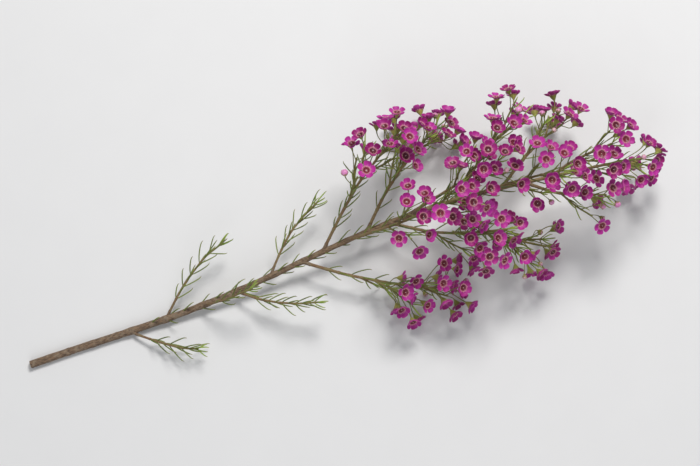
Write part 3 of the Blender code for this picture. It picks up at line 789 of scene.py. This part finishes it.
STAMEN = thorn(4, (2.38, -0.05, 0.24), (2.72, 0.25, 0.22), (2.86, 0.55, 0.16), (2.78, 0.9, 0.09))
ANTHER = thorn(5, (2.86, 0.76, 0.06), (2.78, 0.86, 0.17), (2.64, 0.98, 0.17), (2.53, 1.03, 0.05))
SPUR = thorn(4, (2.4, -0.1, 0.26), (2.78, 0.22, 0.24), (3.12, 0.45, 0.15), (3.42, 0.5, 0.05))
STYLE = thorn(6, (0, -0.9, 0.16), (0.03, -0.4, 0.12), (0.06, 0, 0.11), (0.1, 0.35, 0.1))
STIGMA = thorn(
    7, (0.09, 0.28, 0.1), (0.1, 0.35, 0.22), (0.11, 0.48, 0.28), (0.12, 0.62, 0.2), (0.12, 0.67, 0.07)
)
STAMENS = 10
STAMEN_HEIGHT = 1.2 * MM
DISC_KIND, STAMEN_KIND, ANTHER_KIND, STYLE_KIND = range(4)


def add_part(skin, head, form, angle, kind):
    reach = column(np.linspace(0, 1, len(form)))
    skin.add(placed(head, form, angle), kind=kind, tint=head.tint, reach=reach)


def add_heart(skin, head):
    """The dark disc in its hollow, a ring of stamens with pale spurs between, and the style."""
    reach = column([radius / DISC_RIM for radius, _ in DISC_PROFILE])
    skin.add(placed(head, DISC_RINGS), kind=DISC_KIND, tint=head.tint, reach=reach)
    for k in range(STAMENS):
        angle = 2 * math.pi * (k + 0.5) / STAMENS + art.normal(0, 0.04)
        lean = np.array([art.normal(0, 0.12), art.normal(0, 0.1), art.normal(0, 0.1)]) * MM
        for form, kind in ((STAMEN, STAMEN_KIND), (ANTHER, ANTHER_KIND)):
            share = np.clip(form[..., 2:3] / STAMEN_HEIGHT, 0, 1)
            add_part(skin, head, form + lean * share, angle, kind)
        add_part(skin, head, SPUR, angle + math.pi / STAMENS, STAMEN_KIND)
    for form in (STYLE, STIGMA):
        add_part(skin, head, form, art.uniform(0, 6), STYLE_KIND)


STALK_SHARES = column(np.linspace(0, 1, 9))
STALK_FORM = np.array([1.1, 0.95, 0.86, 0.82, 0.82, 0.84, 0.9, 1.05, 1.25])
STALK_KNEE, STALK_NECK = 0.45, 0.28
STALK_IN_CUP = 0.15 * MM


def stalk_path(head):
    """The stalk leaves the twig straight and bends at last to the flower's own facing."""
    foot = stalk_foot(head)
    way = foot - head.base
    knee = head.base + way * STALK_KNEE
    neck = foot - head.facing * np.linalg.norm(way) * STALK_NECK
    share = STALK_SHARES
    return ((1 - share) ** 3 * head.base + 3 * (1 - share) ** 2 * share * knee
            + 3 * (1 - share) * share ** 2 * neck + share ** 3 * (foot + head.facing * STALK_IN_CUP))


def add_stalk(skin, head):
    rings = tube(stalk_path(head), STALK_RADIUS * STALK_FORM * head.size, STALK_SIDES)
    skin.add(rings, age=0.12 - 0.1 * STALK_SHARES)


# Buds

SMALLEST_BUD, RIPE_BUD = 0.62, 1.02
GLOBE = (
    (-0.62, 0.55), (-0.48, 0.76), (-0.28, 0.92), (-0.06, 0.99), (0.14, 1.0), (0.34, 0.96), (0.52, 0.86),
    (0.68, 0.72), (0.82, 0.53), (0.92, 0.34), (0.98, 0.18), (1.0, 0.07),
)
BUD_CUP_PROFILE = (
    (0.46, 0.0), (0.66, 0.35), (1.08, 0.95), (1.62, 1.7), (2.14, 2.5), (2.55, 3.3), (2.76, 4.0),
    (2.74, 4.2), (2.55, 4.1), (2.2, 3.4),
)
BUD_CUP_RINGS = lathe(BUD_CUP_PROFILE, BUD_CUP_SIDES, 0.03) - UP * BUD_DEPTH
BUD_SEPAL_ROWS = column([0.0, 0.4, 0.75, 1.0])
BUD_SEPAL = sepal(column([2.7, 2.84, 2.8, 2.62]) - 0.16 * SEPAL_COLUMNS ** 2, column([0.8, 0.95, 0.7, 0.2]),
                  column([-0.3, 0.3, 0.85, 1.3]), (SEPAL_THICK, 0, 0))


def add_bud(globes, cups, head):
    """A closed bud: petals folded over each other into a globe, on a small green cup."""
    angles = circle(BUD_SIDES)
    rings, side = [], []
    for height, width in GLOBE:
        lobe = ((angles / (2 * math.pi) * PETALS + 0.55 * height) % 1.0)
        step = 0.05 * (lobe - 0.5) + 0.05 * np.sin(math.pi * lobe) ** 0.7 - 0.03
        reach = width * (1 + step * (0.5 + 0.8 * max(height, 0.0)))
        rings.append(level_ring(angles, reach, height))
        side.append(np.minimum(lobe, 1 - lobe) * 2)
    ripe = np.clip((head.size - SMALLEST_BUD) / (RIPE_BUD - SMALLEST_BUD), 0, 1)
    globes.add(placed(head, np.array(rings) * BUD_RADIUS), reach=column(np.linspace(0, 1, len(GLOBE))),
               side=np.array(side), tint=head.tint, age=ripe)
    reach = column(np.linspace(0, 0.82, len(BUD_CUP_PROFILE)))
    side = np.cos(PETALS * circle(BUD_CUP_SIDES))
    cups.add(placed(head, BUD_CUP_RINGS), reach=reach, side=side, tint=head.tint)
    for k in range(PETALS):
        rings = placed(head, BUD_SEPAL, 2 * math.pi * (k + 0.5) / PETALS)
        cups.add(rings, reach=0.8 + 0.15 * BUD_SEPAL_ROWS, side=0.0, tint=head.tint)


# Needle leaves

LEAF_SHARES = np.array([0.0, 0.08, 0.2, 0.36, 0.52, 0.68, 0.82, 0.92, 0.975, 1.0])
LEAF_FORM = np.array([0.62, 0.78, 0.95, 1.0, 1.0, 0.96, 0.84, 0.64, 0.4, 0.12])
LEAF_GROOVE = np.where(np.arange(LEAF_SIDES) == 0, 0.2, 0.0)
LEAF_SWELL = 1 + 0.16 * np.cos(3 * circle(LEAF_SIDES)) - LEAF_GROOVE
HOOK_FROM = 0.86


def add_leaf(skin, leaf, along):
    """A needle: three-sided, a little grooved above, widest past its middle, with a hooked point."""
    path = leaf_points(leaf, LEAF_SHARES)
    hook = across(unit(path[-1] - path[-3]), leaf.curl + along)
    path = path + hook * column(np.clip(LEAF_SHARES - HOOK_FROM, 0, 1) ** 1.5 * leaf.length * 1.1)
    near = across(unit(path[-1] - path[0]), along)
    rings = tube(path, LEAF_WIDTH / 2 * LEAF_FORM, LEAF_SIDES, near, LEAF_SWELL)
    skin.add(rings, reach=column(LEAF_SHARES), tint=leaf.tint, age=leaf.young)


def leaf_axis(leaf, rods):
    """The way of the wood a leaf sits on."""
    best = min(rods, key=lambda rod: np.linalg.norm(rod.points - leaf.base, axis=1).min())
    middles = (best.points[1:] + best.points[:-1]) / 2
    index = int(np.linalg.norm(middles - leaf.base, axis=1).argmin())
    return unit(best.points[index + 1] - best.points[index])


# Wood

STEM_RING_GAP, STEM_CORNER = 1.1 * MM, 11 * MM
ROD_RING_GAP, ROD_CORNER = 1.6 * MM, 5 * MM
STEM_RIDGE, SPUR_RIDGE = (0.16, 4 * MM), (0.2, 0.8 * MM)
STEM_FISSURES, ROD_FISSURES = 0.02, 0.03
BARK_SEED = 5
FISSURE_ROWS = 5
SCAR_GAP, SCAR_LENGTH, SCAR_TURN, SCAR_HEIGHT = 9 * MM, 1.3 * MM, 0.4, 0.1

# Rings of the sawn end: how deep in the stem and how wide, in mm, and how near the bark each one is.
CUT_FACE = ((1.2, 2.2, 1.0), (-0.12, 2.45, 1.0), (-0.1, 1.6, 0.65), (-0.12, 0.8, 0.33), (-0.02, 0.4, 0.16))
COLLAR_BEYOND = 0.6 * MM
COLLAR_FORM = np.array([1.9, 1.75, 1.5, 1.32, 1.2, 1.16, 1.18, 1.04])


def bark_swell(count, sides, depth, seed):
    """A factor for each side of each ring: shallow fissures that run along the wood."""
    rng = np.random.default_rng(seed)
    coarse = rng.normal(0, 1, (max(3, count // FISSURE_ROWS) + 1, sides))
    rows = np.linspace(0, len(coarse) - 1.001, count)
    low = rows.astype(int)
    share = column(rows - low)
    return 1 + depth * (coarse[low] * (1 - share) + coarse[low + 1] * share)


def scar_swell(distances, sides):
    """A factor for each side of each ring: low bumps in opposite pairs, where leaves have dropped."""
    angles = circle(sides)
    swell = np.ones((len(distances), sides))
    for k in range(int(distances[-1] / SCAR_GAP)):
        place = (k + art.uniform(0.3, 0.7)) * SCAR_GAP
        turn = k * math.pi / 2 + art.normal(0, 0.2)
        for angle in (turn, turn + math.pi):
            aside = np.angle(np.exp(1j * (angles - angle))) / SCAR_TURN
            along = (distances - place) / SCAR_LENGTH
            swell += SCAR_HEIGHT * np.exp(-along ** 2)[:, None] * np.exp(-aside ** 2)[None, :]
    return swell


def ringed(distances, radii, places, height, length):
    """The radii with a low ridge round the wood at each of the places."""
    for place in places:
        radii = radii * (1 + height * np.exp(-((distances - place) / length) ** 2))
    return radii


def add_main_stem(skin, stem, sprays):
    distances, path = rounded(stem, STEM_RING_GAP, STEM_CORNER)
    collars = [spray.collar[0][1] / STEM_LENGTH * stem.length for spray in sprays if spray.collar]
    radii = ringed(distances, np.interp(distances, stem.reach, stem.radii), collars, *STEM_RIDGE)
    swell = bark_swell(len(path), STEM_SIDES, STEM_FISSURES, BARK_SEED) * scar_swell(distances, STEM_SIDES)
    reach = column(distances / stem.length)
    skin.add(tube(path, radii, STEM_SIDES, swell=swell), age=1.0 - 0.55 * reach, reach=reach)


def add_cut_face(skin, stem):
    """The sawn end: pale wood with a darker pith, a hair proud of the bark's edge."""
    way = unit(stem.points[1] - stem.points[0])
    first = across(way, UP)
    angles = circle(STEM_SIDES)
    spokes = column(np.cos(angles)) * first + column(np.sin(angles)) * np.cross(way, first)
    uneven = column(1 + 0.02 * np.sin(angles * 7))
    depths, radii, reach = np.array(CUT_FACE).T[:, :, None]
    rings = stem.points[0] + (depths[..., None] * way + radii[..., None] * (spokes * uneven)) * MM
    skin.add(rings, kind=1, reach=reach, age=1.0)


def add_collar(skin, spray):
    """The flared collar that a shoot leaves the stem by."""
    middle, heading = spray.collar
    shoot = spray.rods[0]
    start = shoot.points[0] + heading * COLLAR_BEYOND
    path = middle + (start - middle) * column(np.linspace(0, 1, len(COLLAR_FORM)))
    skin.add(tube(path, shoot.radii[0] * COLLAR_FORM, COLLAR_SIDES), age=0.75, reach=0.5)


def add_wood(skin, rod, age_first, age_last, spurs, seed):
    """A shoot or twig, with a low ring at each pair of leaves or stalks on it."""
    distances, path = rounded(rod, ROD_RING_GAP, ROD_CORNER)
    radii = ringed(distances, np.interp(distances, rod.reach, rod.radii), spurs, *SPUR_RIDGE)
    swell = bark_swell(len(path), ROD_SIDES, ROD_FISSURES, seed)
    path[0] = path[0] - (path[1] - path[0]) * 0.3
    ages = between(age_first, age_last, column(distances / rod.length))
    skin.add(tube(path, radii, ROD_SIDES, swell=swell), age=ages)


def spurs_on(rod, places):
    """How far along the rod each of the places sits that lies on it."""
    found = []
    for place in places:
        for start, end, reach in zip(rod.points[:-1], rod.points[1:], rod.reach[:-1]):
            way = end - start
            length = np.linalg.norm(way)
            share = float(np.dot(place - start, way) / length ** 2)
            if 0 <= share <= 1 and np.linalg.norm(start + way * share - place) < 0.05 * MM:
                found.append(reach + share * length)
                break
    return sorted(set(round(f, 5) for f in found))


# Materials

class Graph:
    """A material and the nodes that work out its looks."""

    def __init__(self, name, roughness, **settings):
        self.material = bpy.data.materials.new(name)
        self.material.use_nodes = True
        self.nodes = self.material.node_tree.nodes
        self.links = self.material.node_tree.links
        self.shader = self.nodes["Principled BSDF"]
        self.shader.inputs["Roughness"].default_value = roughness
        for key, value in settings.items():
            self.shader.inputs[key.replace("_", " ")].default_value = value

    def node(self, kind, inputs=(), **settings):
        made = self.nodes.new(kind)
        for key, value in settings.items():
            setattr(made, key, value)
        for key, value in dict(inputs).items():
            if isinstance(value, bpy.types.NodeSocket):
                self.links.new(value, made.inputs[key])
            else:
                made.inputs[key].default_value = value
        return made

    def looks(self, *names):
        """The numbers of these names that the mesh holds at each point."""
        return [self.node("ShaderNodeAttribute", attribute_name=name).outputs["Fac"] for name in names]

    def places(self):
        return self.node("ShaderNodeTexCoord").outputs["Object"]

    def noise(self, scale, detail, rough=0.55, where=None):
        inputs = {"Scale": scale, "Detail": detail, "Roughness": rough, "Vector": where or self.places()}
        return self.node("ShaderNodeTexNoise", inputs).outputs["Fac"]

    def maths(self, operation, first, second=0.0):
        return self.node("ShaderNodeMath", {0: first, 1: second}, operation=operation).outputs[0]

    def times(self, first, second):
        return self.maths("MULTIPLY", first, second)

    def spread(self, value, low, high, to_low=0.0, to_high=1.0):
        """The value's run from low to high, eased into the run from to_low to to_high."""
        inputs = {"Value": value, "From Min": low, "From Max": high, "To Min": to_low, "To Max": to_high}
        return self.node("ShaderNodeMapRange", inputs, interpolation_type="SMOOTHSTEP").outputs["Result"]

    def mix(self, share, first, second):
        first, second = ((*c, 1.0) if isinstance(c, tuple) else c for c in (first, second))
        return self.node("ShaderNodeMix", {0: share, 6: first, 7: second}, data_type="RGBA").outputs[2]

    def coats(self, base, *coats):
        """The base colour under coats, each given by how much of it shows and its colour."""
        for share, colour in coats:
            base = self.mix(share, base, colour)
        return base

    def finish(self, colour, height, strength, depth, roughness=None):
        """Links the colour, a bump of the given height, and a roughness if there is one."""
        self.links.new(colour, self.shader.inputs["Base Color"])
        bump = self.node("ShaderNodeBump", {"Height": height, "Strength": strength, "Distance": depth})
        self.links.new(bump.outputs["Normal"], self.shader.inputs["Normal"])
        if roughness:
            self.links.new(roughness, self.shader.inputs["Roughness"])
        return self.material


def bark_look():
    """Fissured brown bark with grey patches, red-brown on younger shoots and green on the youngest."""
    g = Graph("bark", 0.8)
    place = g.places()
    age, = g.looks("age")
    stretched = g.node("ShaderNodeMapping", {"Vector": place, "Scale": (1.0, 0.12, 1.0)}).outputs["Vector"]
    fissures = g.noise(2300, 6, 0.68, stretched)
    patches = g.noise(210, 5, 0.65, place)
    specks = g.noise(5200, 3, 0.5, place)
    mottle = g.spread(patches, 0.35, 0.65)
    old = g.coats(
        (0.060, 0.034, 0.021),
        (g.spread(fissures, 0.40, 0.58), (0.24, 0.155, 0.092)),
        (g.spread(patches, 0.46, 0.70, 0.0, 0.6), (0.30, 0.24, 0.17)),
    )
    young = g.coats(
        (0.17, 0.075, 0.038),
        (mottle, (0.20, 0.16, 0.06)),
        (g.spread(fissures, 0.40, 0.68), (0.27, 0.20, 0.10)),
    )
    wood = g.coats(
        g.mix(mottle, (0.145, 0.165, 0.036), (0.225, 0.205, 0.06)),
        (g.spread(age, 0.10, 0.42), g.mix(g.spread(age, 0.42, 0.8), young, old)),
        (g.spread(specks, 0.66, 0.76, 0.0, 0.5), (0.33, 0.26, 0.17)),
    )
    height = g.maths("ADD", fissures, g.times(specks, 0.35))
    return g.finish(wood, height, 0.9, 0.5 * MM, g.spread(fissures, 0.3, 0.7, 0.62, 0.88))


def cut_wood_look():
    """Pale sawn wood with fine growth rings, a darker pith and a greenish rim."""
    g = Graph("cut_wood", 0.85)
    reach, = g.looks("reach")
    rings = g.maths("SINE", g.times(reach, 60.0))
    grain = g.noise(2600, 4, 0.6)
    wood = g.coats(
        (0.60, 0.50, 0.33),
        (g.spread(rings, -0.6, 0.9), (0.50, 0.39, 0.235)),
        (g.spread(reach, 0.16, 0.34, 0.75, 0.0), (0.34, 0.25, 0.14)),
        (g.spread(reach, 0.86, 1.0, 0.0, 0.8), (0.24, 0.20, 0.10)),
        (g.spread(grain, 0.35, 0.7), (0.42, 0.33, 0.20)),
    )
    return g.finish(wood, grain, 0.5, 0.2 * MM)


def leaf_look():
    """Olive green with glands, fresher on young needles, yellower at the foot and brown at the point."""
    g = Graph("leaf", 0.42, Specular_IOR_Level=0.35)
    reach, tint, young = g.looks("reach", "tint", "age")
    blotches = g.noise(420, 3, 0.6)
    glands = g.noise(3800, 2, 0.5)
    fresh = g.mix(tint, (0.22, 0.34, 0.045), (0.36, 0.47, 0.075))
    green = g.coats(
        g.mix(tint, (0.075, 0.110, 0.018), (0.165, 0.21, 0.036)),
        (g.spread(blotches, 0.38, 0.68, 0.0, 0.8), (0.19, 0.225, 0.045)),
        (g.times(young, g.spread(reach, 0.0, 0.5, 0.55, 1.0)), fresh),
        (g.spread(reach, 0.5, 1.0, 0.0, 0.35), (0.31, 0.34, 0.08)),
        (g.spread(reach, 0.90, 1.0, 0.0, 0.65), (0.30, 0.15, 0.055)),
        (g.spread(reach, 0.0, 0.14, 0.5, 0.0), (0.36, 0.30, 0.13)),
        (g.spread(glands, 0.63, 0.72, 0.0, 0.35), (0.05, 0.07, 0.02)),
    )
    return g.finish(green, glands, 0.35, 0.2 * MM, g.spread(blotches, 0.3, 0.7, 0.34, 0.5))


def petal_look():
    """Waxy magenta that varies from flower to flower, with darker veins, a painted highlight that makes the
    rim and tip paler, and a pale foot.
    """
    g = Graph("petal", 0.45, Specular_IOR_Level=0.28)
    reach, side, tint, below = g.looks("reach", "side", "tint", "below")
    blotches = g.noise(360, 4, 0.6)
    cells = g.noise(5200, 2, 0.5)
    fan = g.times(side, g.maths("ADD", g.times(reach, 0.5), 0.75))
    wobble = g.times(g.maths("SUBTRACT", blotches, 0.5), 0.35)
    veins = g.spread(g.maths("SINE", g.times(g.maths("ADD", fan, wobble), 19.0)), 0.5, 1.0)
    # Painted highlight: the side edges and the tip are mixed towards pale pink, as if light caught them.
    edge = g.spread(g.maths("ABSOLUTE", side), 0.74, 1.0)
    rim_highlight = g.maths("MAXIMUM", edge, g.spread(reach, 0.84, 1.0))
    body = g.coats(
        g.mix(tint, (0.245, 0.006, 0.112), (0.50, 0.034, 0.345)),
        (g.spread(blotches, 0.36, 0.68, 0.0, 0.5), (0.37, 0.016, 0.215)),
        (g.times(veins, g.spread(reach, 0.0, 1.0, 0.42, 0.12)), (0.21, 0.009, 0.105)),
        # The painted highlight along the rim and tip.
        (g.times(rim_highlight, 0.36), (0.64, 0.13, 0.50)),
        (g.spread(reach, 0.28, 0.0, 0.0, 0.62), (0.70, 0.28, 0.45)),
        (g.times(below, 0.34), (0.42, 0.07, 0.28)),
    )
    height = g.maths("ADD", g.times(cells, 0.35), g.times(veins, -0.5))
    return g.finish(body, height, 0.45, 0.12 * MM, g.spread(cells, 0.3, 0.7, 0.40, 0.55))


def cup_look():
    """Olive green with glands, greener at the stalk and flushed red towards the rim and the sepals."""
    g = Graph("cup", 0.42, Specular_IOR_Level=0.38)
    reach, side, tint = g.looks("reach", "side", "tint")
    blotches = g.noise(520, 3, 0.6)
    glands = g.noise(4600, 1, 0.4)
    flush = g.times(g.spread(reach, 0.72, 1.05), g.spread(blotches, 0.3, 0.6, 0.35, 0.9))
    green = g.coats(
        g.mix(tint, (0.19, 0.22, 0.036), (0.38, 0.34, 0.085)),
        (g.spread(reach, 0.0, 0.35, 0.6, 0.0), (0.26, 0.30, 0.08)),
        (g.spread(side, 0.2, 1.0, 0.0, 0.3), (0.42, 0.39, 0.12)),
        (flush, (0.40, 0.15, 0.15)),
        (g.spread(reach, 1.02, 1.2), (0.52, 0.26, 0.30)),
        (g.spread(glands, 0.62, 0.72, 0.0, 0.45), (0.14, 0.13, 0.03)),
    )
    return g.finish(green, glands, 0.5, 0.18 * MM)


def disc_look():
    """Dark crimson and moist, a little lighter at the rim."""
    g = Graph("disc", 0.38, Specular_IOR_Level=0.45, Coat_Weight=0.12, Coat_Roughness=0.2)
    reach, tint = g.looks("reach", "tint")
    fine = g.noise(2400, 3, 0.6)
    red = g.coats(
        g.mix(tint, (0.085, 0.006, 0.020), (0.19, 0.014, 0.034)),
        (g.spread(reach, 0.80, 1.0, 0.0, 0.5), (0.36, 0.05, 0.10)),
        (g.spread(fine, 0.4, 0.7, 0.0, 0.5), (0.06, 0.004, 0.014)),
    )
    return g.finish(red, fine, 0.3, 0.1 * MM)


def part_look(name, low, high, rough):
    """A small part whose colour goes from low at its foot to high at its tip."""
    g = Graph(name, rough, Specular_IOR_Level=0.4)
    reach, tint = g.looks("reach", "tint")
    fine = g.noise(3000, 2, 0.5)
    tone = g.coats(
        low,
        (reach, high),
        (g.times(tint, 0.35), tuple(c * 0.72 for c in high)),
        (g.spread(fine, 0.4, 0.7, 0.0, 0.25), low),
    )
    return g.finish(tone, fine, 0.3, 0.1 * MM)


def bud_look():
    """Pearly pink petals with darker seams, green while the bud is small and magenta as it ripens."""
    g = Graph("bud", 0.36, Specular_IOR_Level=0.5, Coat_Weight=0.15, Coat_Roughness=0.3)
    reach, side, tint, ripe = g.looks("reach", "side", "tint", "age")
    blotches = g.noise(600, 3, 0.6)
    deep = g.mix(tint, (0.52, 0.10, 0.34), (0.66, 0.22, 0.50))
    skin = g.coats(
        g.mix(tint, (0.48, 0.46, 0.24), (0.62, 0.36, 0.42)),
        (g.spread(g.maths("ADD", ripe, g.times(reach, 0.35)), 0.25, 0.8), deep),
        (g.spread(reach, 0.75, 1.0, 0.0, 0.4), (0.42, 0.05, 0.24)),
        (g.spread(side, 0.0, 0.16, 0.55, 0.0), (0.38, 0.06, 0.20)),
        (g.spread(side, 0.2, 0.5, 0.0, 0.3), (0.78, 0.42, 0.62)),
        (g.spread(blotches, 0.4, 0.7, 0.0, 0.3), (0.72, 0.38, 0.58)),
    )
    return g.finish(skin, blotches, 0.25, 0.2 * MM)


# Pieces

# How old the wood looks at the start and the end of a shoot, a twig and a fork, from 1 down to 0.
SHOOT_AGES, TWIG_AGES, FORK_AGES = (0.5, 0.22), (0.32, 0.12), (0.12, 0.08)
CUT_CORNERS = 6


def dress_spray(spray, runs, looks, number):
    """A spray's wood in place of its solid, with its leaves, petals, cups, hearts and buds."""
    wood, leaves = Skin("age"), Skin("reach", "tint", "age")
    petals, cups = Skin("reach", "side", "tint", "below"), Skin("reach", "side", "tint")
    hearts, buds = Skin("reach", "tint"), Skin("reach", "side", "tint", "age")
    bases = [leaf.base for leaf in spray.leaves] + [head.base for head in spray.heads]
    for i, rod in enumerate(spray.rods):
        ages = TWIG_AGES if i else SHOOT_AGES
        if rod.radii[0] < TIP_RADIUS:
            ages = FORK_AGES
        add_wood(wood, rod, *ages, spurs_on(rod, bases), number * 100 + i)
    for leaf in spray.leaves:
        add_leaf(leaves, leaf, leaf_axis(leaf, spray.rods))
    for head in spray.heads:
        add_stalk(wood, head)
        if head.kind == "bud":
            add_bud(buds, cups, head)
            continue
        nearby = runs_near(head, runs)
        for k in range(PETALS):
            tint = min(1.0, max(0.0, head.tint + art.normal(0, TINT_WANDER)))
            add_petal(petals, head, k, tint, nearby)
        add_cup(cups, head)
        add_heart(hearts, head)
    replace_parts(wood.build(spray.name + "_wood", [looks.bark], "bark"), spray.name)
    groups = (("leaves", leaves, [looks.leaf], "leaf"), ("petals", petals, [looks.petal], "petal"),
              ("cups", cups, [looks.cup], "cup"), ("hearts", hearts, looks.heart, "heart"),
              ("buds", buds, [looks.bud], "bud"))
    for part, skin, materials, slot in groups:
        if skin.count:
            skin.build(f"{spray.name}_{part}", materials, slot)


def dress_main_stem(stem, trunk, sprays, looks):
    """The main stem's wood with its cut end and collars in place of its solid, and its needles."""
    wood, leaves = Skin("age", "reach"), Skin("reach", "tint", "age")
    add_main_stem(wood, stem, sprays)
    add_cut_face(wood, stem)
    for spray in sprays:
        if spray.collar:
            add_collar(wood, spray)
    for leaf in trunk.leaves:
        add_leaf(leaves, leaf, leaf_axis(leaf, [stem]))
    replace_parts(wood.build("main_stem_wood", [looks.bark, looks.cut_wood], "bark"), "main_stem")
    leaves.build("main_stem_leaves", [looks.leaf], "leaf")


def growing_origin():
    """Where the growing frame's origin lies: under the middle of the cut end of the solid stem."""
    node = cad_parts["main_stem"]
    places = np.array([node.matrix_world @ v.co for v in node.data.vertices])
    cut_end = places[np.argsort(places[:, 1])[:CUT_CORNERS]]
    return cut_end.mean(axis=0) - UP * CUT_RADIUS


# Studio

FLOOR_HALF = 6.0
FLOOR_GREYS = (0.70, 0.70, 0.705), (0.72, 0.72, 0.725)
SKY_COLOUR, SKY_STRENGTH = (0.95, 0.97, 1.0, 1.0), 0.36

# Each lamp's name, place, target, size, watts and colour.
LAMPS = (
    ("key", (-0.75, 0.55, 1.45), (0, 0.05, 0.05), 0.6, 24, (1.0, 0.985, 0.96)),
    ("fill", (1.3, -0.6, 1.1), (0, 0, 0.05), 1.2, 7, (0.95, 0.97, 1.0)),
)
CAMERA_AZIMUTH, CAMERA_ELEVATION = math.radians(-20), math.radians(76)
CAMERA_TARGET = Vector((0.0, 0.006, 0.035))
CAMERA_DISTANCE = 1.22
CAMERA_LENS = 85


def facing(place, target):
    """The turn of a lamp or camera that looks from place to target."""
    return (Vector(target) - Vector(place)).to_track_quat("-Z", "Y").to_euler()


def add_light(name, place, target, size, power, colour):
    data = bpy.data.lights.new(name, "AREA")
    data.shape = "DISK"
    data.size = size
    data.energy = power
    data.color = colour
    lamp = bpy.data.objects.new(name, data)
    lamp.location = place
    lamp.rotation_euler = facing(place, target)
    bpy.context.scene.collection.objects.link(lamp)


def add_floor():
    """A plain pale floor, a hair under the stem."""
    mesh = bpy.data.meshes.new("floor")
    corners = [(x * FLOOR_HALF, y * FLOOR_HALF, 0) for x, y in ((-1, -1), (1, -1), (1, 1), (-1, 1))]
    mesh.from_pydata(corners, [], [(0, 1, 2, 3)])
    g = Graph("floor", 0.9)
    g.links.new(g.mix(g.noise(30, 2), *FLOOR_GREYS), g.shader.inputs["Base Color"])
    mesh.materials.append(g.material)
    floor = bpy.data.objects.new("floor", mesh)
    floor.location.z = -0.2 * MM
    bpy.context.scene.collection.objects.link(floor)


def add_studio():
    scene = bpy.context.scene
    scene.view_settings.view_transform = "Standard"
    world = bpy.data.worlds.new("studio")
    world.use_nodes = True
    sky = world.node_tree.nodes["Background"]
    sky.inputs["Color"].default_value = SKY_COLOUR
    sky.inputs["Strength"].default_value = SKY_STRENGTH
    scene.world = world
    for lamp in LAMPS:
        add_light(*lamp)
    add_floor()


def add_camera():
    """Looks down on the stem, which crosses the frame from the lower left to the upper right."""
    level = math.cos(CAMERA_ELEVATION)
    back = Vector((
        math.cos(CAMERA_AZIMUTH) * level,
        math.sin(CAMERA_AZIMUTH) * level,
        math.sin(CAMERA_ELEVATION),
    ))
    data = bpy.data.cameras.new("camera")
    data.lens = CAMERA_LENS
    camera = bpy.data.objects.new("camera", data)
    camera.location = CAMERA_TARGET + back * CAMERA_DISTANCE
    camera.rotation_euler = (-back).to_track_quat("-Z", "Y").to_euler()
    bpy.context.scene.collection.objects.link(camera)
    bpy.context.scene.camera = camera


stem, trunk, sprays = grow_plant()
SHIFT = growing_origin()
looks = SimpleNamespace(
    bark=bark_look(), cut_wood=cut_wood_look(), leaf=leaf_look(),
    petal=petal_look(), cup=cup_look(), bud=bud_look(),
    heart=[
        disc_look(),
        part_look("stamen", (0.62, 0.24, 0.30), (0.78, 0.50, 0.45), 0.5),
        part_look("anther", (0.70, 0.52, 0.36), (0.62, 0.40, 0.30), 0.6),
        part_look("style", (0.55, 0.20, 0.24), (0.86, 0.78, 0.60), 0.4),
    ],
)
dress_main_stem(stem, trunk, sprays, looks)
runs = all_runs(stem, sprays)
for number, spray in enumerate(sprays):
    dress_spray(spray, runs, looks, number + 1)
add_studio()
add_camera()
